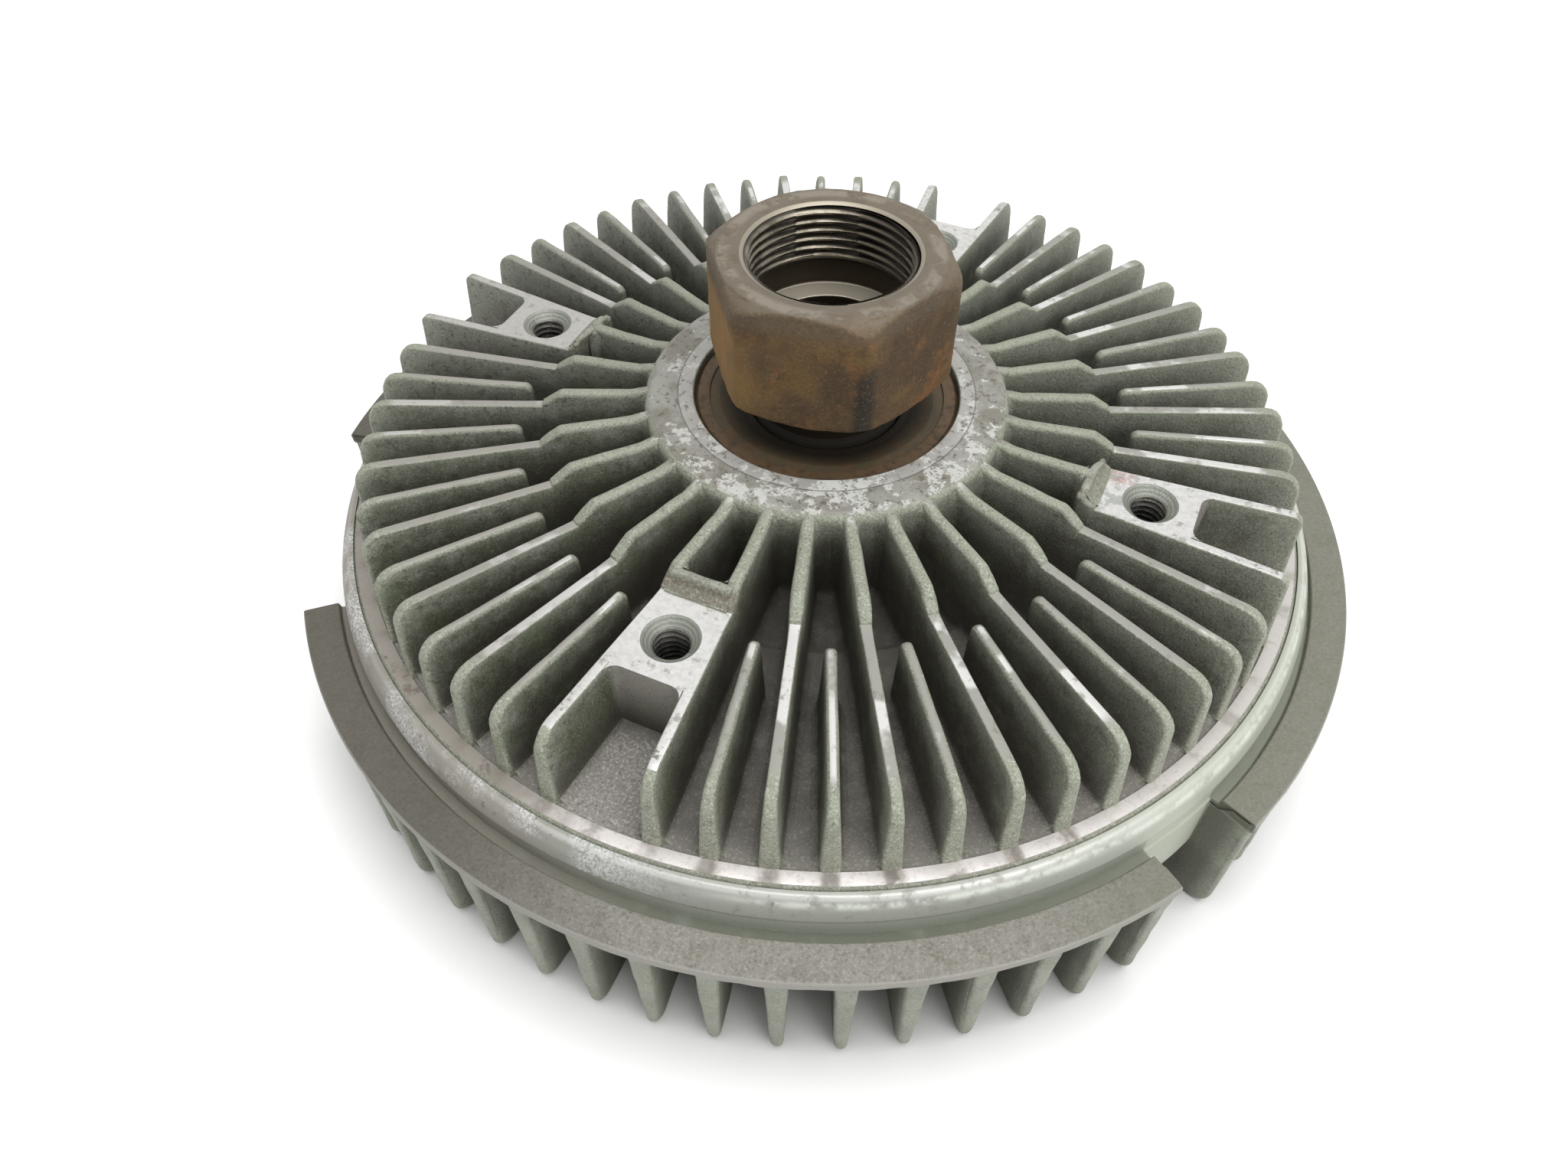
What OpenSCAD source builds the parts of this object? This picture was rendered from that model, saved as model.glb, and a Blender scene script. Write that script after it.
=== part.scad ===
// Viscous fan clutch, standing on its front fins with the drive nut up.
// Z runs along the shaft and is 0 at the tips of the front fins.

/* [Housing] */
// Radius of the seam between the rear body and the rolled lip of the cover
seam_r = 73.5; // [71:0.5:77]
// Height of the seam above the tips of the front fins
seam_z = 31.2; // [30.6:0.2:34]
// How far the rear body's rim reaches out under the rolled lip
rim_lap = 1.2; // [1:0.1:1.5]
// Radial wall of the front cover outside its bore
cover_wall = 1.5; // [1.2:0.1:2]
// Radial width of the machined band inside the seam
band_w = 2.2; // [1.6:0.1:3]
// Thickness of the rear body's dished wall
body_wall = 3.6; // [3:0.1:4.5]

/* [Hub] */
// Radius of the rear body's hub
hub_r = 27.5; // [26:0.1:29]
// Height of the hub's flat ring above the seam
hub_h = 16.4; // [16.2:0.1:18]
// Depth of the bearing's face below the hub's flat ring
bearing_inset = 0.8; // [0.4:0.1:1.2]

/* [Rear fins] */
// Number of fin places round the rear body
fin_count = 60; // [52:4:60]
// Height of the faced outer fin tops above the seam
fin_h = 12.7; // [11.5:0.1:13.5]
// Height of the inner parts of the long fins above the seam
fin_inner_h = 15.3; // [14.8:0.1:15.8]
// Thickness of a rear fin at its top
fin_tip_t = 1.5; // [1.2:0.1:1.8]
// Thickness of the inner part of a long fin at its top
fin_inner_t = 1.9; // [1.6:0.1:2.2]
// Thickness of a rear fin at the seam's height
fin_root_t = 2.8; // [2.4:0.1:3.1]
// Radius of the faced step where the fan's seat begins
seat_r = 43.4; // [42:0.1:44]
// Radius of the inner ends of the short fins
short_fin_r = 46.2; // [45:0.2:50]
// Radius of the rounded outer top corner of a rear fin
fin_corner = 3.4; // [2.5:0.1:7]
// Radius of the outer top corner of the fins beside a boss
side_fin_corner = 1.5; // [1:0.1:5]
// Angle by which the side fins of a boss on a long rib lean towards it
side_fin_pull = 0.8; // [0:0.1:1]

/* [Fan bosses] */
// Bolt circle of the fan bosses
fan_pcd = 100; // [99:0.5:101]
// Nominal thread of the fan bolts
fan_bolt_d = 6; // [5:1:6]
// Depth of the threaded holes
fan_bolt_depth = 10.5; // [8:0.5:11]
// Diameter of the countersink of the threaded holes
countersink_d = 7.7; // [7:0.1:8.5]
// Radial length of a boss top
boss_len = 13.2; // [12.6:0.1:14]

/* [Front cover] */
// Outer radius of the flange
flange_r = 83; // [82.6:0.1:86]
// Thickness of the flange
flange_t = 2; // [1.6:0.1:2.6]
// Depth of the flange's rear face below the seam
flange_drop = 6; // [5.5:0.1:6.5]
// Thickness of the cover's front wall
front_wall = 3; // [2.6:0.1:3.4]
// Number of front fins
front_fin_count = 60; // [48:4:60]
// Angle of the first front fin
front_fin_phase = 1.5; // [0:0.1:6]
// Thickness of a front fin at its tip
front_tip_t = 1.7; // [1.4:0.1:2]
// Thickness of a front fin at the flange
front_root_t = 3; // [2.6:0.1:3.2]
// Distance from the flange's edge to the outer edge of the front fins
front_fin_inset = 0.6; // [0.3:0.1:1]
// Radius of the inner ends of the long front fins
front_long_r = 34; // [32:0.5:38]
// Radius of the inner ends of the short front fins
front_short_r = 54; // [50:0.5:58]

/* [Drive nut] */
// Width across the flats of the nut
nut_af = 32; // [31:0.5:33]
// Height of the nut's top above the seam
nut_top_h = 39.9; // [39:0.1:42]
// Height of the nut's lower end above the seam
nut_low_h = 21.3; // [21:0.1:22]
// Nominal thread of the socket
socket_d = 24; // [22:0.5:25]
// Length of the socket's thread
thread_len = 9.3; // [8:0.1:9.6]
// Depth of the socket
socket_depth = 13.4; // [12.6:0.1:13.8]
// Diameter of the pilot bore below the socket
pilot_d = 18; // [16:0.5:19]

/* [Bearing] */
// Bore of the ball bearing
bearing_bore = 17; // [16.5:0.5:17.5]
// Outer diameter of the ball bearing
bearing_od = 40; // [39.5:0.5:40.5]
// Width of the ball bearing
bearing_w = 12; // [11.5:0.1:12.2]
// Number of balls
ball_count = 8; // [7:1:8]
// Diameter of a ball
ball_d = 6.5; // [6:0.1:6.6]

/* [Rotor] */
// Height of the interleaved ring lands
land_h = 3; // [2.4:0.1:3.2]
// Thickness of a ring land
land_t = 1.4; // [1.2:0.1:1.6]
// Radial pitch of the ring lands of one part
land_pitch = 4; // [3.9:0.1:4.4]
// Number of ring lands on each part
land_count = 5; // [3:1:5]
// Thickness of the rotor's web
rotor_web = 3; // [2.5:0.1:3.2]

/* [Valve] */
// Thickness of the separator plate
plate_t = 1.2; // [1:0.1:1.4]
// Diameter of a fluid port in the separator plate
port_d = 7; // [5:0.5:8]
// Radius of the circle of the fluid ports
port_r = 56; // [52:0.5:58]
// Angle that the valve arm swings from shut to fully open
valve_swing = 28; // [24:1:32]
// Width of the valve arm
arm_w = 12; // [10:0.5:14]
// Thickness of the valve arm
arm_t = 1; // [0.8:0.1:1.2]
// Diameter of the valve shaft
valve_shaft_d = 6; // [5:0.5:6.5]
// Width of the bimetal strip
coil_w = 6.8; // [5.5:0.1:7]
// Thickness of the bimetal strip
coil_t = 0.9; // [0.7:0.1:1]
// Number of turns of the bimetal coil
coil_turns = 4; // [3:1:5]
// Radial pitch of the coil's turns
coil_pitch = 3; // [2.4:0.1:3.2]

/* [Hidden] */
$fn = 96;
// Overlap where two solids are joined
lap = 0.4;
// Running clearance of a shaft in its bore
run_gap = 0.05;
// Clearance of a fixed fit
fit_gap = 0.1;
// Clearance between parts that pass each other
pass_gap = 0.4;
// Width of the visible seam line
seam_gap = 0.3;

// Rear body
rim_r = seam_r + rim_lap;
rim_bevel = 1.7;
band_r = seam_r - band_w;
fin_step_angle = 360 / fin_count;
boss_count = 4;
boss_every = fin_count / boss_count;
fin_top_z = seam_z + fin_h;
fin_inner_z = seam_z + fin_inner_h;
hub_z = seam_z + hub_h;
hub_edge = 0.7;
floor_rise = 2;
floor_pit = 0.4;
pit_r = 38.6;
fin_hub_rise = 0.7;
fin_hub_len = 2.2;
floor_drop = 0.3;
fin_end_lean = 0.6;
seat_step = 0.35;
slope_len = 3.1;
boss_r = fan_pcd / 2;
boss_out_r = boss_r + boss_len / 2;
boss_ridge_z = fin_inner_z - 0.4;
ridge_in_r = seat_r - slope_len;
ridge_t = 1.2;
ridge_foot_t = 1.75;
ridge_ledge = 0.2;

// Heights of the inner parts, downwards from the rear wall
ceiling_z = seam_z + floor_rise - body_wall - 0.6;
land_gap = 0.5;
rotor_top_z = ceiling_z - land_h - land_gap;
rotor_low_z = rotor_top_z - rotor_web;
head_h = 1.5;
head_z = rotor_low_z - head_h;
plate_top_z = head_z - pass_gap;
plate_low_z = plate_top_z - plate_t;
arm_top_z = plate_low_z - pass_gap;
arm_low_z = arm_top_z - arm_t;
boss_top_z = arm_low_z - pass_gap;
reservoir_depth = 4.3;
reservoir_z = plate_low_z - reservoir_depth;
face_z = reservoir_z - front_wall;
valve_boss_drop = 2;
valve_boss_z = face_z - valve_boss_drop;

// Front cover
cover_bore_r = rim_r + fit_gap;
wall_r = cover_bore_r + cover_wall;
lip_round = 3.6;
lip_drop = 3.8;
flange_top_z = seam_z - flange_drop;
flange_low_z = flange_top_z - flange_t;
groove_w = 1.4;
groove_depth = 1.1;
ledge_w = 3.6;
reservoir_r = cover_bore_r - ledge_w - 1.2;
front_fin_r = flange_r - front_fin_inset;
front_corner = 3.5;
front_fin_lean = 0.3;
front_end_slope = 2.5;
front_step_angle = 360 / front_fin_count;
// Gaps in the flange: share of the turn at the first missing fin, number of missing fins
flange_gaps = [[0.55, 4], [0.9167, 1]];
gap_margin = 1;

// Bearing
bearing_top_z = hub_z - bearing_inset;
bearing_low_z = bearing_top_z - bearing_w;
bearing_mid_z = bearing_top_z - bearing_w / 2;
bearing_r = bearing_od / 2;
bearing_bore_r = bearing_bore / 2;
pitch_r = (bearing_r + bearing_bore_r) / 2;
ball_r = ball_d / 2;
ball_gap = 0.15;
race_r = ball_r + 0.3;
shoulder_half = 2.9;
outer_land_r = pitch_r + shoulder_half;
inner_land_r = pitch_r - shoulder_half;
ring_edge = 0.6;
shield_t = 0.5;
shield_seat = 0.5;
shield_in = 0.3;
shield_dish = 0.9;
cage_half_t = 0.95;
cage_half_h = ball_r + 0.75;

// Input shaft, with a corner of its nut at the angle nut_turn
nut_turn = 8.5;
nut_top_z = seam_z + nut_top_h;
nut_low_z = seam_z + nut_low_h;
nut_corner_d = nut_af / cos(30);
nut_chamfer_r = nut_af / 2 + 0.1;
nut_edge_r = nut_af / 2 - 0.6;
socket_r = socket_d / 2;
socket_mouth_r = socket_r + 0.6;
undercut_r = socket_r + 0.6;
undercut_z = nut_top_z - thread_len;
socket_floor_z = nut_top_z - socket_depth;
pilot_r = pilot_d / 2;
pilot_depth = 4;
collar_r = inner_land_r - 0.6;
tail_r = bearing_bore_r - 0.6;
rivet_r = tail_r + 1.6;

// Rotor
chamber_r = rim_r - ledge_w;
rotor_r = chamber_r - pass_gap * 2;
rotor_hub_r = inner_land_r - 0.4;
rotor_edge_w = 3;
rotor_land_r = rotor_r - rotor_edge_w;
body_land_r = rotor_land_r - land_pitch / 2;
hub_hole_r = outer_land_r - 0.2;
bleed_r = 34;
bleed_d = 6;
bleed_count = 6;

// Cover seal
seal_d = 1.7;
seal_groove_h = 2.1;
seal_depth = 2.2;
seal_z = seam_z - rim_bevel - seal_depth;

// Valve
valve_r = valve_shaft_d / 2;
stub_r = valve_r - 0.8;
arm_waist = arm_w * 0.75;
stop_r = 38;
stop_d = 3;
stop_side = arm_waist / 2 + stop_d / 2 + pass_gap;
stop_angle = asin(stop_side / stop_r);
stop_h = pass_gap + arm_t + 0.2;
return_d = 3;
dam_len = 8;
dam_w = 2.2;
dam_h = head_h;
return_inset = 2.5;
return_r = rotor_r - return_inset;
seal_ring_d = 1.7;
seal_ring_gap = 0.1;
seal_slot_h = 2;
seal_slot_r = valve_r + run_gap + seal_ring_gap + seal_ring_d;
seal_slot_z = (boss_top_z + valve_boss_z) / 2;
valve_boss_wall = 3;
valve_boss_r = seal_slot_r + valve_boss_wall;
clip_t = 0.7;
clip_r = valve_r + 2.2;
clip_groove_r = valve_r - 0.6;
clip_top_z = valve_boss_z - 0.2;
coil_top_z = clip_top_z - clip_t - 0.3;
coil_low_z = coil_top_z - coil_w;
coil_in_r = valve_r + 0.3 + coil_t / 2;
coil_wrap = 180;
coil_end_r = coil_in_r + coil_turns * coil_pitch;
coil_steps = 30;
coil_tail = 5;
lug_l = 4.4;
lug_w = 5;
valve_tip_z = coil_low_z - 0.4;

function polar(r, a) = [r * cos(a), r * sin(a)];
function sector(r, a) = [[0, 0], polar(r, a[0]), polar(r, (a[0] + a[1]) / 2), polar(r, a[1])];

// Ring with a rectangular section
module ring(r0, r1, z0, z1) {
    rotate_extrude() translate([r0, z0]) square([r1 - r0, z1 - z0]);
}

// Blade along +X with a drafted, round-topped section, cut to a side outline
module blade(foot_z, foot_t, top_z, top_t, reach, turn = 1) {
    round_z = top_z - turn * top_t / 2;
    intersection() {
        rotate([90, 0, 90]) linear_extrude(height = reach) {
            polygon([[-foot_t / 2, foot_z], [foot_t / 2, foot_z],
                     [top_t / 2, round_z], [-top_t / 2, round_z]]);
            translate([0, round_z]) circle(d = top_t);
        }
        rotate([90, 0, 0]) linear_extrude(height = foot_t * 2, center = true) children();
    }
}

// Outer end of a rear fin outline from the radius r0, with its round top corner
module fin_end_outline(r0, top_z, corner) {
    corner_r = band_r - fin_end_lean - corner;
    polygon([[r0, seam_z - lap], [band_r, seam_z - lap], [band_r - fin_end_lean, top_z - corner],
             [corner_r, top_z - corner], [corner_r, top_z], [r0, top_z]]);
    translate([corner_r, top_z - corner]) circle(r = corner);
}

// Section of the ridge at the inner side of a boss: a narrow wall with a ledge that falls to the seat
module ridge_outline() {
    polygon([[ridge_in_r, seam_z - lap], [seat_r, seam_z - lap], [seat_r, fin_top_z + seat_step],
             [ridge_in_r + ridge_foot_t, fin_top_z + seat_step + ridge_ledge],
             [ridge_in_r + ridge_t, boss_ridge_z], [ridge_in_r, boss_ridge_z]]);
}

// Thickness of a rear fin at a height, from its draft
function fin_t_at(z) = fin_root_t + (fin_tip_t - fin_root_t) * (z - seam_z) / fin_h;

module rear_blade(top_z) {
    blade(seam_z - lap, fin_t_at(seam_z - lap), top_z, fin_t_at(top_z), band_r + lap) children();
}

// Inner part of a long fin: full height and thickness, then a slope down to the fan's seat
module inner_blade() {
    blade(seam_z - lap, fin_root_t, fin_inner_z + fin_hub_rise, fin_inner_t, band_r)
        polygon([[hub_r - lap, seam_z - lap], [seat_r, seam_z - lap], [seat_r, fin_top_z + seat_step],
                 [ridge_in_r, fin_inner_z], [hub_r + fin_hub_len, fin_inner_z],
                 [hub_r - lap, fin_inner_z + fin_hub_rise]]);
}

module long_fin() {
    inner_blade();
    rear_blade(fin_inner_z) fin_end_outline(seat_r - lap, fin_top_z, fin_corner);
}

module side_fin() {
    rear_blade(fin_inner_z) {
        ridge_outline();
        fin_end_outline(seat_r - lap, fin_top_z, side_fin_corner);
    }
}

module short_fin() {
    round_r = 1.2;
    top_z = fin_top_z - 0.2;
    rear_blade(top_z) {
        fin_end_outline(short_fin_r + round_r, top_z, fin_corner);
        translate([short_fin_r, seam_z - lap]) square([round_r * 2, fin_h + lap - 0.2 - round_r]);
        translate([short_fin_r + round_r, top_z - round_r]) circle(r = round_r);
    }
}

function is_boss(i) = i % boss_every == 0;
function is_long(i) = i % 2 == 0;
function boss_side(i) = is_boss(i + 1) ? 1 : is_boss(i + boss_every - 1) ? -1 : 0;

module rear_fin(i) {
    pull = is_long(i) ? 0 : boss_side(i) * side_fin_pull;
    rotate(i * fin_step_angle + pull) {
        if (is_boss(i) && is_long(i)) inner_blade();
        if (!is_boss(i) && is_long(i)) long_fin();
        if (!is_boss(i) && !is_long(i) && boss_side(i) != 0) side_fin();
        if (!is_boss(i) && !is_long(i) && boss_side(i) == 0) short_fin();
    }
}

// Block between two fins at the angles -half and half, from radius r0 to r1, up to a height
module fin_block(r0, r1, top_z, half) {
    translate([0, 0, seam_z - lap]) linear_extrude(height = top_z - seam_z + lap)
        polygon([polar(r0 / cos(half), -half), polar(r1 / cos(half), -half),
                 polar(r1 / cos(half), half), polar(r0 / cos(half), half)]);
}

// Faced boss with a ridge that falls away to its top
module fan_boss(half) {
    fin_block(seat_r - lap, boss_out_r, fin_top_z, half);
    intersection() {
        fin_block(ridge_in_r, seat_r, boss_ridge_z, half);
        rotate([90, 0, 0]) linear_extrude(height = seat_r, center = true) ridge_outline();
    }
}

module fan_hole() {
    translate([boss_r, 0, fin_top_z - fan_bolt_depth]) cylinder(d = fan_bolt_d, h = fan_bolt_depth + lap);
    sink_h = (countersink_d - fan_bolt_d) / 2;
    translate([boss_r, 0, fin_top_z - sink_h])
        cylinder(d1 = fan_bolt_d, d2 = countersink_d, h = sink_h);
    translate([boss_r, 0, fin_top_z]) cylinder(d = countersink_d, h = boss_ridge_z - fin_top_z + lap);
    tip_h = fan_bolt_d / 4;
    translate([boss_r, 0, fin_top_z - fan_bolt_depth - tip_h])
        cylinder(d1 = fan_bolt_d / 4, d2 = fan_bolt_d, h = tip_h);
}

// Dished wall, hub and rim of the rear body, as one turned section
module rear_shell() {
    rotate_extrude() difference() {
        polygon([
            [bearing_r, hub_z], [hub_r - hub_edge, hub_z], [hub_r, hub_z - hub_edge],
            [hub_r, seam_z + floor_pit], [pit_r, seam_z + floor_pit], [pit_r + lap, seam_z + floor_rise],
            [band_r, seam_z - floor_drop], [band_r, seam_z],
            [seam_r - seam_gap / 2, seam_z], [rim_r, seam_z - rim_bevel], [rim_r, plate_top_z],
            [chamber_r, plate_top_z], [chamber_r, ceiling_z], [hub_hole_r, ceiling_z],
            [hub_hole_r, bearing_low_z], [bearing_r, bearing_low_z]]);
        translate([rim_r - seal_d, seal_z - seal_groove_h / 2]) square([seal_d + lap, seal_groove_h]);
    }
}

module rear_body() {
    color("silver") {
        difference() {
            union() {
                rear_shell();
                for (i = [0 : fin_count - 1]) rear_fin(i);
                for (i = [0 : boss_every : fin_count - 1]) rotate(i * fin_step_angle)
                    fan_boss(fin_step_angle - (is_long(i) ? side_fin_pull : 0));
            }
            for (i = [0 : boss_count - 1]) rotate(i * 360 / boss_count) fan_hole();
        }
        for (i = [0 : land_count - 1])
            ring(body_land_r - i * land_pitch - land_t / 2, body_land_r - i * land_pitch + land_t / 2,
                 ceiling_z - land_h, ceiling_z + lap);
    }
}

// Front fin with its tip at z = 0
module front_fin(r0) {
    tip_r = front_fin_r - front_corner;
    foot_z = face_z + lap;
    foot_t = front_tip_t + (front_root_t - front_tip_t) * foot_z / flange_low_z;
    blade(foot_z, foot_t, 0, front_tip_t, front_fin_r + lap, -1) {
        polygon([[r0, foot_z], [r0 + front_end_slope, 0], [tip_r, 0], [tip_r, front_corner],
                 [front_fin_r, front_corner], [front_fin_r, foot_z]]);
        translate([tip_r, front_corner]) circle(r = front_corner);
    }
}

// Outer part of a front fin, between the cover's wall and the flange
module front_fin_outer() {
    blade(flange_low_z + lap, front_root_t, 0, front_tip_t, flange_r, -1)
        polygon([[wall_r - lap, face_z - lap], [front_fin_r, face_z - lap],
                 [front_fin_r + front_fin_lean, flange_low_z + lap], [wall_r - lap, flange_low_z + lap]]);
}

// Wedge that opens one gap in the flange and the outer parts of its fins
module flange_gap(gap) {
    first = round(gap[0] * front_fin_count);
    from = front_fin_phase + (first - 1) * front_step_angle + gap_margin;
    to = front_fin_phase + (first + gap[1]) * front_step_angle - gap_margin;
    difference() {
        translate([0, 0, -lap]) linear_extrude(height = flange_top_z + 2 * lap)
            polygon(sector(flange_r * 1.2, [from, to]));
        translate([0, 0, -2 * lap]) cylinder(r = wall_r, h = flange_top_z + 4 * lap);
    }
}

module cover_section() {
    difference() {
        union() {
            polygon([
                [valve_r + run_gap, valve_boss_z], [valve_boss_r, valve_boss_z], [valve_boss_r, face_z],
                [wall_r, face_z], [wall_r, seam_z - lip_round], [cover_bore_r, seam_z - lip_round],
                [cover_bore_r, plate_low_z], [reservoir_r, plate_low_z], [reservoir_r, reservoir_z],
                [valve_boss_r, reservoir_z], [valve_boss_r, boss_top_z], [valve_r + run_gap, boss_top_z]]);
            intersection() {
                translate([wall_r - lip_round, seam_z - lip_round]) circle(r = lip_round);
                polygon([[seam_r + seam_gap / 2, seam_z], [wall_r, seam_z], [wall_r, seam_z - lip_drop],
                         [cover_bore_r, seam_z - lip_drop], [cover_bore_r, seam_z - rim_bevel]]);
            }
            translate([wall_r - lap, flange_low_z]) square([flange_r - wall_r + lap, flange_t]);
        }
        translate([wall_r, flange_top_z - groove_depth]) square([groove_w, groove_depth + lap]);
        translate([wall_r - 0.3, flange_top_z - groove_depth])
            square([lap, seam_z - lip_drop - flange_top_z + groove_depth]);
        translate([valve_r, seal_slot_z - seal_slot_h / 2])
            square([seal_slot_r - valve_r, seal_slot_h]);
    }
}

// Lug that holds the outer end of the bimetal coil
module coil_lug() {
    translate([coil_end_r - lug_w / 2, 0, coil_low_z + 1]) difference() {
        cube([lug_w, lug_l, face_z - coil_low_z - 1 + lap]);
        translate([lug_w / 2 - coil_t / 2 - 0.15, -lap, -lap])
            cube([coil_t + 0.3, coil_tail + lap, coil_w + lap]);
    }
}

module front_cover() {
    color("darkgray") {
        difference() {
            union() {
                rotate_extrude() cover_section();
                for (i = [0 : front_fin_count - 1]) rotate(front_fin_phase + i * front_step_angle) {
                    front_fin(is_long(i) ? front_long_r : front_short_r);
                    front_fin_outer();
                }
            }
            for (gap = flange_gaps) flange_gap(gap);
        }
        coil_lug();
    }
}

module cover_seal_ring() {
    color("black") rotate_extrude() translate([rim_r - seal_d / 2, seal_z]) circle(d = seal_d);
}

// Steel plate between the reservoir and the working chamber
module separator_plate() {
    color("lightsteelblue") {
        difference() {
            translate([0, 0, plate_low_z]) cylinder(r = rim_r - fit_gap, h = plate_t);
            for (side = [0, 180]) rotate(side) {
                translate([port_r, 0, plate_low_z - lap]) cylinder(d = port_d, h = plate_t + 2 * lap);
                rotate(90) translate([return_r, 0, plate_low_z - lap])
                    cylinder(d = return_d, h = plate_t + 2 * lap);
            }
        }
        for (side = [0, 180]) rotate(side) {
            for (a = [-stop_angle, valve_swing + stop_angle]) rotate(a)
                translate([stop_r, 0, plate_low_z - stop_h]) cylinder(d = stop_d, h = stop_h + lap);
            rotate(90) translate([return_r - dam_len / 2, return_d, plate_low_z + lap])
                cube([dam_len, dam_w, plate_t - lap + dam_h]);
        }
    }
}

// Half section of a bearing ring with its race, between two radii
module race_ring(r0, r1, race_centre_r) {
    rotate_extrude() difference() {
        polygon([[r0 + ring_edge, bearing_low_z], [r1 - ring_edge, bearing_low_z],
                 [r1, bearing_low_z + ring_edge], [r1, bearing_top_z - ring_edge],
                 [r1 - ring_edge, bearing_top_z], [r0 + ring_edge, bearing_top_z],
                 [r0, bearing_top_z - ring_edge], [r0, bearing_low_z + ring_edge]]);
        translate([race_centre_r, bearing_mid_z]) circle(r = race_r);
        if (r1 == bearing_r) for (z = [bearing_low_z, bearing_top_z - shield_in - shield_t])
            translate([r0 - lap, z]) square([lap + shield_seat, shield_in + shield_t]);
    }
}

module bearing_outer_ring() {
    color("sienna") race_ring(outer_land_r, bearing_r, pitch_r + ball_gap - (race_r - ball_r));
}

module bearing_inner_ring() {
    color("gray") race_ring(bearing_bore_r, inner_land_r, pitch_r - ball_gap + (race_r - ball_r));
}

// Dished sheet shield; side is 1 at the rear face and -1 at the front face
module bearing_shield(side) {
    seat_z = side > 0 ? bearing_top_z - shield_in : bearing_low_z + shield_in;
    dish_z = seat_z - side * shield_dish;
    out_r = outer_land_r + shield_seat;
    in_r = inner_land_r + pass_gap;
    rotate_extrude() polygon([
        [out_r, seat_z], [out_r - 1.5, seat_z], [in_r + 1, dish_z], [in_r, dish_z],
        [in_r, dish_z - side * shield_t], [in_r + 1, dish_z - side * shield_t],
        [out_r - 1.5, seat_z - side * shield_t], [out_r, seat_z - side * shield_t]]);
}

module bearing_rear_shield() {
    color("saddlebrown") bearing_shield(1);
}

module bearing_front_shield() {
    color("gray") bearing_shield(-1);
}

module bearing_cage() {
    color("goldenrod") difference() {
        ring(pitch_r - cage_half_t, pitch_r + cage_half_t,
             bearing_mid_z - cage_half_h, bearing_mid_z + cage_half_h);
        for (i = [0 : ball_count - 1]) rotate(i * 360 / ball_count)
            translate([pitch_r, 0, bearing_mid_z]) rotate([0, 90, 0])
                cylinder(r = ball_r + ball_gap, h = cage_half_t * 4, center = true);
    }
}

module bearing_ball(i) {
    color("lightgray") rotate((i - 1) * 360 / ball_count)
        translate([pitch_r, 0, bearing_mid_z]) sphere(r = ball_r);
}

// Hexagon nut, collar, bearing seat and riveted tail in one turned piece
module input_shaft() {
    drop = (nut_corner_d / 2 - nut_chamfer_r) * tan(30);
    color("sienna") difference() {
        union() {
            intersection() {
                translate([0, 0, nut_low_z]) rotate(nut_turn)
                    cylinder(d = nut_corner_d, h = nut_top_z - nut_low_z, $fn = 6);
                rotate_extrude() polygon([
                    [0, nut_low_z], [nut_edge_r, nut_low_z],
                    [nut_corner_d / 2 + lap, nut_low_z + (nut_corner_d / 2 + lap - nut_edge_r) * tan(30)],
                    [nut_corner_d / 2 + lap, nut_top_z - drop - lap * tan(30)],
                    [nut_chamfer_r, nut_top_z], [0, nut_top_z]]);
            }
            translate([0, 0, bearing_top_z]) cylinder(r = collar_r, h = nut_low_z - bearing_top_z + lap);
            translate([0, 0, bearing_low_z]) cylinder(r = bearing_bore_r, h = bearing_w + lap);
            translate([0, 0, rotor_low_z - lap])
                cylinder(r = tail_r, h = bearing_low_z - rotor_low_z + 2 * lap);
            translate([0, 0, head_z]) cylinder(r1 = rivet_r - 0.8, r2 = rivet_r, h = head_h);
        }
        translate([0, 0, undercut_z - lap]) cylinder(r = socket_r, h = thread_len + 2 * lap);
        translate([0, 0, nut_top_z - 0.6]) cylinder(r1 = socket_r, r2 = socket_mouth_r + 0.1, h = 0.7);
        translate([0, 0, socket_floor_z]) cylinder(r = undercut_r, h = undercut_z - socket_floor_z);
        translate([0, 0, socket_floor_z - pilot_depth]) cylinder(r = pilot_r, h = pilot_depth + lap);
    }
}

// Driven disc with ring lands that run between those of the rear body
module rotor_disc() {
    color("silver") difference() {
        union() {
            ring(tail_r, rotor_r, rotor_low_z, rotor_top_z);
            ring(tail_r, rotor_hub_r, rotor_low_z, bearing_low_z);
            for (i = [0 : land_count - 1])
                ring(rotor_land_r - i * land_pitch - land_t / 2, rotor_land_r - i * land_pitch + land_t / 2,
                     rotor_top_z - lap, rotor_top_z + land_h);
        }
        for (i = [0 : bleed_count - 1]) rotate(i * 360 / bleed_count)
            translate([bleed_r, 0, rotor_low_z - lap]) cylinder(d = bleed_d, h = rotor_web + 2 * lap);
    }
}

module valve_shaft() {
    color("lightgray") difference() {
        union() {
            translate([0, 0, valve_tip_z]) cylinder(r = valve_r, h = arm_low_z - valve_tip_z);
            translate([0, 0, arm_low_z - lap]) cylinder(r = stub_r, h = arm_t + lap);
        }
        ring(clip_groove_r, valve_r + lap, clip_top_z - clip_t, clip_top_z);
    }
}

// Valve arm: a bar with a round pad over each port
module valve_arm() {
    color("lightsteelblue") translate([0, 0, arm_low_z]) linear_extrude(height = arm_t) difference() {
        union() {
            square([2 * port_r, arm_waist], center = true);
            for (side = [-1, 1]) translate([side * port_r, 0]) circle(d = arm_w);
            circle(d = arm_w * 1.3);
        }
        circle(r = stub_r);
    }
}

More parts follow.
